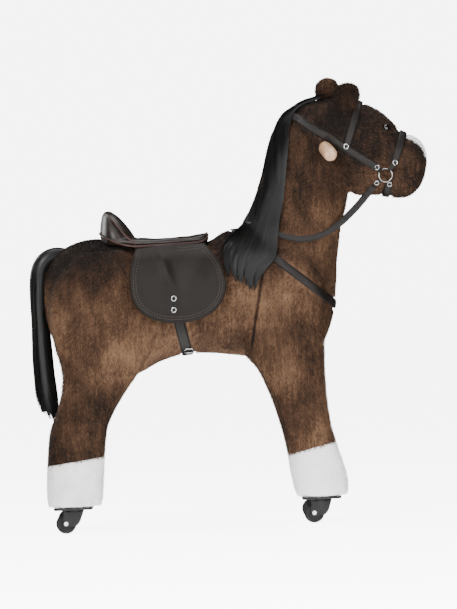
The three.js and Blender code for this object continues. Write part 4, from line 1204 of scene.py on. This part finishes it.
def tail(s):
    rng = np.random.default_rng(11)
    n, steps = s["strands"], s["steps"]
    middle, halves = through(s["middle"], 300) * mm, through(s["halves"], 300) * mm
    at = np.linspace(0, 1, 300)
    angle, far = rng.uniform(0, 2 * np.pi, n), np.sqrt(rng.uniform(0.50, 1.0, n))
    t = np.linspace(0, 1, steps)[None] * (1 - rng.exponential(0.022, n) - 0.035 * (1 + np.sin(angle * 6)) / 2
                                            - 0.06 * (1 + np.cos(angle)) / 2)[:, None]
    t = np.clip(t, 0, 1)
    c = np.stack([np.interp(t, at, middle[:, k]) for k in range(3)], -1)
    h = np.stack([np.interp(t, at, halves[:, k]) for k in range(2)], -1)
    wayLine = unit(np.gradient(middle, axis=0))
    way = unit(np.stack([np.interp(t, at, wayLine[:, k]) for k in range(3)], -1))
    side = np.broadcast_to(np.array([0, 1.0, 0]), way.shape)
    out = unit(np.cross(side, way))
    wander = 0.05 * np.sin(t * rng.uniform(4, 9, n)[:, None] + rng.uniform(0, 6, n)[:, None])
    a = (np.cos(angle) * far)[:, None] + wander
    b = (np.sin(angle) * far)[:, None] + wander[:, ::-1]
    lines = c + out * (a * h[..., 0])[..., None] + side * (b * h[..., 1])[..., None]
    radial = unit(out * np.cos(angle)[:, None, None] + side * np.sin(angle)[:, None, None])
    across = unit(np.cross(way, radial))
    width = rng.uniform(0.7, 1.3, n) * s["width"] * mm
    o = ribbons("tail_hair", lines, across, width, rng.uniform(0, 1, n), blackHair)
    place(o, "horse_body", "black_hair", "tail")
    keep = byLength(middle, 60)[:-6]
    g = np.linspace(0, 1, 60)[:-6]
    hh = np.stack([np.interp(g, at, halves[:, k]) for k in range(2)], -1) * 0.78
    w = unit(np.gradient(keep, axis=0))
    sideK = np.broadcast_to(np.array([0, 1.0, 0]), w.shape)
    outK = unit(np.cross(sideK, w))
    ang = fullTurn(28)
    p = keep[:, None] + outK[:, None] * (hh[:, :1] * np.cos(ang))[..., None]
    p += sideK[:, None] * (hh[:, 1:] * np.sin(ang))[..., None]
    core = solid("tail_core", cappedTube(p, keep[[0, -1]]), hairBacking)
    place(core, "horse_body", "black_hair")


mane(maneSet)
tail(tailSet)
print("mane and tail made")

# the fur is short blades of pile over the skin
furSet = {
    "count": 330000, "earCount": 9000, "width": 0.95, "lift": (0.62, 0.34), "stray": 0.26, "seamGap": 0.0013,
    "length": (6.0, 8.8), "sockLength": (6.5, 9.0), "earLength": (4.5, 7.5),
    "eyeGap": 0.0085, "eyeTipGap": 0.0075, "gripGap": 0.0145, "lowest": 0.059,
}


def sampledSkin(p, n, t, areas, count, rng):
    # points spread evenly over triangles, with the smooth outward direction
    total = np.cumsum(areas)
    k = np.searchsorted(total, rng.random(count) * total[-1])
    a, b = np.sqrt(rng.random(count)), rng.random(count)
    w = np.stack([1 - a, a * (1 - b), a * b], 1)
    return (p[t[k]] * w[..., None]).sum(1), unit((n[t[k]] * w[..., None]).sum(1))


def flowOver(at, out):
    # which way the pile lies: back along the barrel, down the neck and legs, forward down the face
    x, z = at[:, 0], at[:, 2]
    head = (ease((x - 0.16) / 0.08) * ease((z - 0.640) / 0.06))[:, None]
    low = ease((0.44 - z) / 0.10)[:, None]
    base = mix(np.array([-0.45, 0, -0.9]), np.array([0.10, 0, -1.0]), low)
    base = mix(base, np.array([0.80, 0, -0.62]), head)
    swirl = np.stack([np.sin(z * 31 + x * 9), x * 0, np.cos(x * 27 + z * 7)], 1) * 0.22
    flow = base + swirl
    return unit(flow - out * (flow * out).sum(1)[:, None] + 1e-9)


def nearLines(points, lines, chunk=20000):
    # true for each point that lies closer to a line than that line's reach
    hit = np.zeros(len(points), bool)
    for line, reach in lines:
        line = byLength(np.concatenate([line, line[-1:]]), max(8, int(len(line) / 2)))
        low, high = line.min(0) - reach, line.max(0) + reach
        close = np.flatnonzero(((points >= low - 0.004) & (points <= high + 0.004)).all(1))
        for k in range(0, len(close), chunk):
            part = close[k:k + chunk]
            d = ((points[part, None] - line[None]) ** 2).sum(-1).min(1)
            hit[part] |= d < (reach + 0.0012) ** 2
    return hit


def blades(name, at, out, flow, length, rng, *materials):
    n = len(at)
    turn = rng.normal(0, furSet["stray"], n)[:, None]
    side = np.cross(out, flow)
    flow = unit(flow * np.cos(turn) + side * np.sin(turn))
    lift0 = furSet["lift"][0] + rng.normal(0, 0.10, n)[:, None]
    lift1 = furSet["lift"][1] + rng.normal(0, 0.12, n)[:, None]
    first, second = flow * np.cos(lift0) + out * np.sin(lift0), flow * np.cos(lift1) + out * np.sin(lift1)
    roll = rng.normal(0, 0.45, n)[:, None]
    across = unit(np.cross(first, out))
    across = across * np.cos(roll) + np.cross(first, across) * np.sin(roll)
    l = (rng.uniform(*length, n) * mm)[:, None]
    w = (furSet["width"] * mm * rng.uniform(0.75, 1.25, n) / 2)[:, None]
    root = at - out * 0.4 * mm
    middle = root + first * l * 0.5
    tip = middle + second * l * 0.5
    wide, narrow = across * w, across * w * 0.8
    p = np.stack([root - wide, root + wide, middle - narrow, middle + narrow, tip], 1)
    base = (np.arange(n) * 5)[:, None]
    quads, tips = base + np.array([0, 1, 3, 2]), base + np.array([2, 3, 4])
    me = meshOf(name, p.reshape(-1, 3), quads, tips)
    o = addObject(name, me, *materials)
    setNumbers(me, "shade", np.repeat(rng.uniform(0, 1, n), 5))
    return o


def coveredSkin(at, tips, f):
    # true where straps, saddle, mane, eyes, grips, the shoulder seam or the foot leave no room for pile
    x, y, z = at.T
    covered = nearLines(at, keepClear) | nearLines(tips, keepClear)
    flapEdge = flapOutline(saddle["flap"], 80)
    shrunk = flapEdge.mean(0) + (flapEdge - flapEdge.mean(0)) * 0.97
    covered |= inside(x, z, shrunk) & (np.abs(y) > 0.07)
    seatEdge = np.concatenate([rim[:, :2], rim[:1, :2]])
    seatEdge = seatEdge.mean(0) + (seatEdge - seatEdge.mean(0)) * 0.96
    covered |= inside(x, y, seatEdge) & (z > 0.55)
    tt = np.linspace(0.02, 0.88, 40)
    edges = [maneSurface(tt, tt * 0 + 0.14, 0.0), maneSurface(tt[::-1], tt * 0 + 0.84, 0.0)]
    edge = np.concatenate(edges)[:, ::2]
    covered |= inside(x, z, edge) & (y < 0.004)
    for p0 in eyePlaces:
        covered |= ((at - p0) ** 2).sum(1) < f["eyeGap"] ** 2
        covered |= ((tips - p0) ** 2).sum(1) < f["eyeTipGap"] ** 2
    for sign in (1, -1):
        start, way = gripLine(sign)
        r = at - start
        covered |= (np.linalg.norm(r - (r @ way)[:, None] * way, axis=1) < f["gripGap"]) & ((r @ way) > -0.04)
    a, b = (np.array(k, float) * mm for k in seams["front"][:3:2])
    d = unit(b - a)
    gap = np.abs((x - a[0]) * d[1] - (z - a[1]) * d[0]) < f["seamGap"]
    covered |= gap & (z < a[1]) & (z > b[1]) & (np.abs(y) > 0.05)
    return covered | (z < f["lowest"])


def legRooms(at):  # which points lie on each leg, above or below its sock's edge
    x, y, z = at.T
    rooms = {}
    for end in ("front", "rear"):
        line = np.array(seams["sockFront" if end == "front" else "sockRear"], float) * mm
        edgeZ = line[0, 1] + (x - line[0, 0]) * (line[1, 1] - line[0, 1]) / (line[1, 0] - line[0, 0])
        room = inside(x, z, np.array(seams[end], float) * mm) & (np.abs(y) > seams["inner"] * mm)
        for side, sign in sides:
            mine = room & (y * sign > 0)
            rooms[end, side, "leg"] = mine & (z >= edgeZ)
            rooms[end, side, "sock"] = mine & (z < edgeZ)
    return rooms


def furry(f):
    rng = np.random.default_rng(3)
    at, out = sampledSkin(skinPoints, skinOut, skinTris, skinAreas, f["count"], rng)
    x, y, z = at.T
    flow = flowOver(at, out)
    covered = coveredSkin(at, at + flow * 0.008 + out * 0.003, f)
    taken = np.zeros(len(at), bool)
    for (end, side, what), mask in legRooms(at).items():
        taken |= mask
        m = mask & ~covered
        white = what == "sock"
        length, pile = (f["sockLength"], whiteFur) if white else (f["length"], brownFur)
        o = blades(f"{end}_{what}_fur_{side}", at[m], out[m], flow[m], length, rng, pile)
        if white:
            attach(o, f"{end}_legs")
        else:
            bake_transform(o)
    free = ~taken & ~covered
    parts = {"head": free & (x > 0.17) & (z > 0.66)}
    parts["neck"] = free & ~parts["head"] & (z > 0.56) & (x > 0.0)
    rest = free & ~parts["head"] & ~parts["neck"]
    parts["barrel_left"], parts["barrel_right"] = rest & (y > 0), rest & (y <= 0)
    for key, m in parts.items():
        o = blades(f"{key}_fur", at[m], out[m], flow[m], f["length"], rng, brownFur)
        place(o, "horse_body", "brown_plush")
    for side, pad in ears.items():
        at, out = sampledSkin(*skinNumbers(pad), f["earCount"], rng)
        up = np.array([0.0, 0, 1.0])
        flow = unit(up - out * (out @ up)[:, None] + 1e-6)
        o = blades(f"{side}_ear_fur", at, out, flow, f["earLength"], rng, brownFur)
        place(o, "horse_body", "brown_plush")
    return {k: int(v.sum()) for k, v in parts.items()}, int(covered.sum())


print("fur:", furry(furSet))

# the coats are the skins under the fur
for key, o in coats.items():
    o.data.set_sharp_from_angle(angle=math.radians(50))
    if key == "body":
        o.data.materials.append(brownBacking)
        place(o, "horse_body", "brown_plush", "body_padding", "neck_padding", "head_padding")
    else:
        end, side, what = key
        o.data.materials.append(whiteBacking if what == "sock" else brownBacking)
        if what == "sock":
            place(o, f"{end}_legs", "white_plush", f"{end}_sock_{side}")
        else:
            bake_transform(o)
            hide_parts(f"{end}_leg_padding_{side}")
bpy.data.objects.remove(wholeSkin)

# the nodes that show as they are, with a material and a bevel: plates, hoods, axles and the inner frame
nodeLooks = {
    "foot_plate": (blackPlastic, 0.6), "caster_hood": (blackPlastic, 0.5), "caster_axle": (nickelPlate, 0.3),
    "leg_frame": (frameSteel, 0.5), "spine_frame": (frameSteel, 0.5), "handle_bar": (frameSteel, 0.5),
    "pivot_bolt": (nickelPlate, 0.4), "seat_board": (seatPly, 0.6),
}
for name, o in nodes.items():
    for key, (material, bevel) in nodeLooks.items():
        if key in name:
            o.data.materials.clear()
            o.data.materials.append(material)
            addModifier(o, "WELD", merge_threshold=0.00002)
            addModifier(o, "BEVEL", width=bevel * mm, segments=2, limit_method="ANGLE",
                        angle_limit=math.radians(35))

wheelProfile = [(3.3, -9.8), (8.2, -9.8), (9.4, -8.4), (14.2, -8.0), (15.6, -9.2), (17.6, -9.5),
                (19.4, -8.2), (20.3, -5.6), (20.5, -2.5), (20.5, 2.5), (20.3, 5.6), (19.4, 8.2), (17.6, 9.5),
                (15.6, 9.2), (14.2, 8.0), (9.4, 8.4), (8.2, 9.8), (3.3, 9.8)]


def casterWheel(name, body):
    low, high = (np.array(k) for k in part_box(name))
    centre = (low + high) / 2
    v = turned(np.array(wheelProfile) * mm, 56)
    faces = gridFaces(*v.shape[:2], True, True)
    o = solid(f"{name}_tyre", (v.reshape(-1, 3) + centre, faces), wheelRubber)
    o.data.set_sharp_from_angle(angle=math.radians(38))
    place(o, body, "wheel_rubber", name)


for end in ("front", "rear"):
    for side in ("left", "right"):
        casterWheel(f"{end}_wheel_{side}", f"{end}_wheel_{side}")
print("coats, plates and wheels made")

# the return spring is two halves, each hooked on its own leg pair's brace
springSet = {
    "coil": (-120, -30, 410, 10, 7), "wire": 1.8, "split": -75,
    "rearHook": [(-274.4, 0, 409.5), (-271.3, 0, 417.3), (-263, 0, 420.2), (-250, 0, 419)],
    "frontHook": [(102, 0, 419), (115, 0, 420.2), (123.3, 0, 417.3), (126.4, 0, 409.5)],
    "bends": {"rear": ((-0.195, 0.0, 0.41), (-0.245, 0.0, 0.41)),
              "front": ((0.05, 0.0, 0.41), (0.10, 0.0, 0.41))},
}


def springHalves(s):
    # a helix about the X axis: y and z are the radius times sine and cosine of the turns so far
    x0, x1, level, radius, turns = s["coil"]
    t = np.linspace(0, 1, 16 * turns + 1)
    a = t * turns * 2 * np.pi
    coil = np.stack([x0 + (x1 - x0) * t, radius * np.sin(a), level + radius * np.cos(a)], 1)
    half = len(coil) // 2
    for end, line in (("rear", [s["rearHook"], coil[:half + 1]]), ("front", [coil[half:], s["frontHook"]])):
        curve = through(np.concatenate(line), 500) * mm
        o = solid(f"return_spring_{end}", roundTube(curve, s["wire"] * mm, 8), springSteel)
        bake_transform(o)
        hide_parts("return_spring")


springHalves(springSet)


def areaLight(name, at, target, size, energy):
    data = bpy.data.lights.new(name, "AREA")
    data.shape = "RECTANGLE"
    data.size, data.size_y = size
    data.energy = energy
    o = bpy.data.objects.new(name, data)
    bpy.context.scene.collection.objects.link(o)
    o.location = at
    o.visible_camera = False
    o.rotation_euler = (Vector(target) - Vector(at)).to_track_quat("-Z", "Y").to_euler()


areaLight("key", (-1.3, -2.6, 2.3), (0, 0, 0.5), (1.4, 1.2), 145)
areaLight("fill", (2.2, -2.6, 0.9), (0, 0, 0.4), (0.9, 1.6), 108)
areaLight("front", (-0.2, -3.4, 0.3), (0, 0, 0.4), (3.0, 1.2), 118)
areaLight("top", (0.0, 0.2, 2.8), (0, 0, 0.5), (2.2, 1.2), 60)
areaLight("back", (-1.8, 1.4, 1.4), (0, 0, 0.5), (1.0, 1.6), 40)
areaLight("floorBounce", (0.0, -0.4, -1.0), (0, 0, 0.5), (2.6, 2.0), 78)

world = bpy.data.worlds.new("studio")
bpy.context.scene.world = world
world.use_nodes = True
# a white room, but dark behind the front, so that metal and leather mirror something
sky = world.node_tree
way = sky.nodes.new("ShaderNodeSeparateXYZ")
sky.links.new(sky.nodes.new("ShaderNodeTexCoord").outputs["Generated"], way.inputs[0])
fade = sky.nodes.new("ShaderNodeMapRange")
for key, value in {"From Min": -0.75, "From Max": 0.25, "To Min": 0.22, "To Max": 0.95}.items():
    fade.inputs[key].default_value = value
sky.links.new(way.outputs["Y"], fade.inputs["Value"])
sky.links.new(fade.outputs[0], sky.nodes["Background"].inputs["Strength"])


def backdrop():
    # a floor that curves up into a wall behind: a profile in Y and Z carried along X
    a = np.linspace(0, math.pi / 2, 24)
    y = np.concatenate([[-18.0], 14.8 + 1.2 * np.sin(a), [16.0]])
    z = np.concatenate([[0.0], 1.2 - 1.2 * np.cos(a), [12.0]]) - 0.0006
    x = np.array([-20.0, 20.0])
    p = np.stack(np.broadcast_arrays(x[:, None], y[None], z[None]), -1).reshape(-1, 3)
    k = Nodes("paperWhite", Roughness=0.9, Specular_IOR_Level=0.1)
    k.colour(k.blend(k.noise(2.0, k.position(), 2.0), (0.93, 0.93, 0.93), (0.95, 0.95, 0.95)))
    k.surface.inputs["Emission Color"].default_value = (1, 1, 1, 1)
    k.surface.inputs["Emission Strength"].default_value = 6.5
    o = addObject("backdrop", meshOf("backdrop", p, gridFaces(2, len(y))), k.material)
    o.visible_diffuse = o.visible_glossy = o.visible_shadow = False
    o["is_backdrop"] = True


backdrop()
newLow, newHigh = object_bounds()
for label, low, high in (("shown", newLow, newHigh), ("cad", cadLow, cadHigh)):
    print(label, "size in mm:", [round((b - a) / mm) for a, b in zip(low, high)])
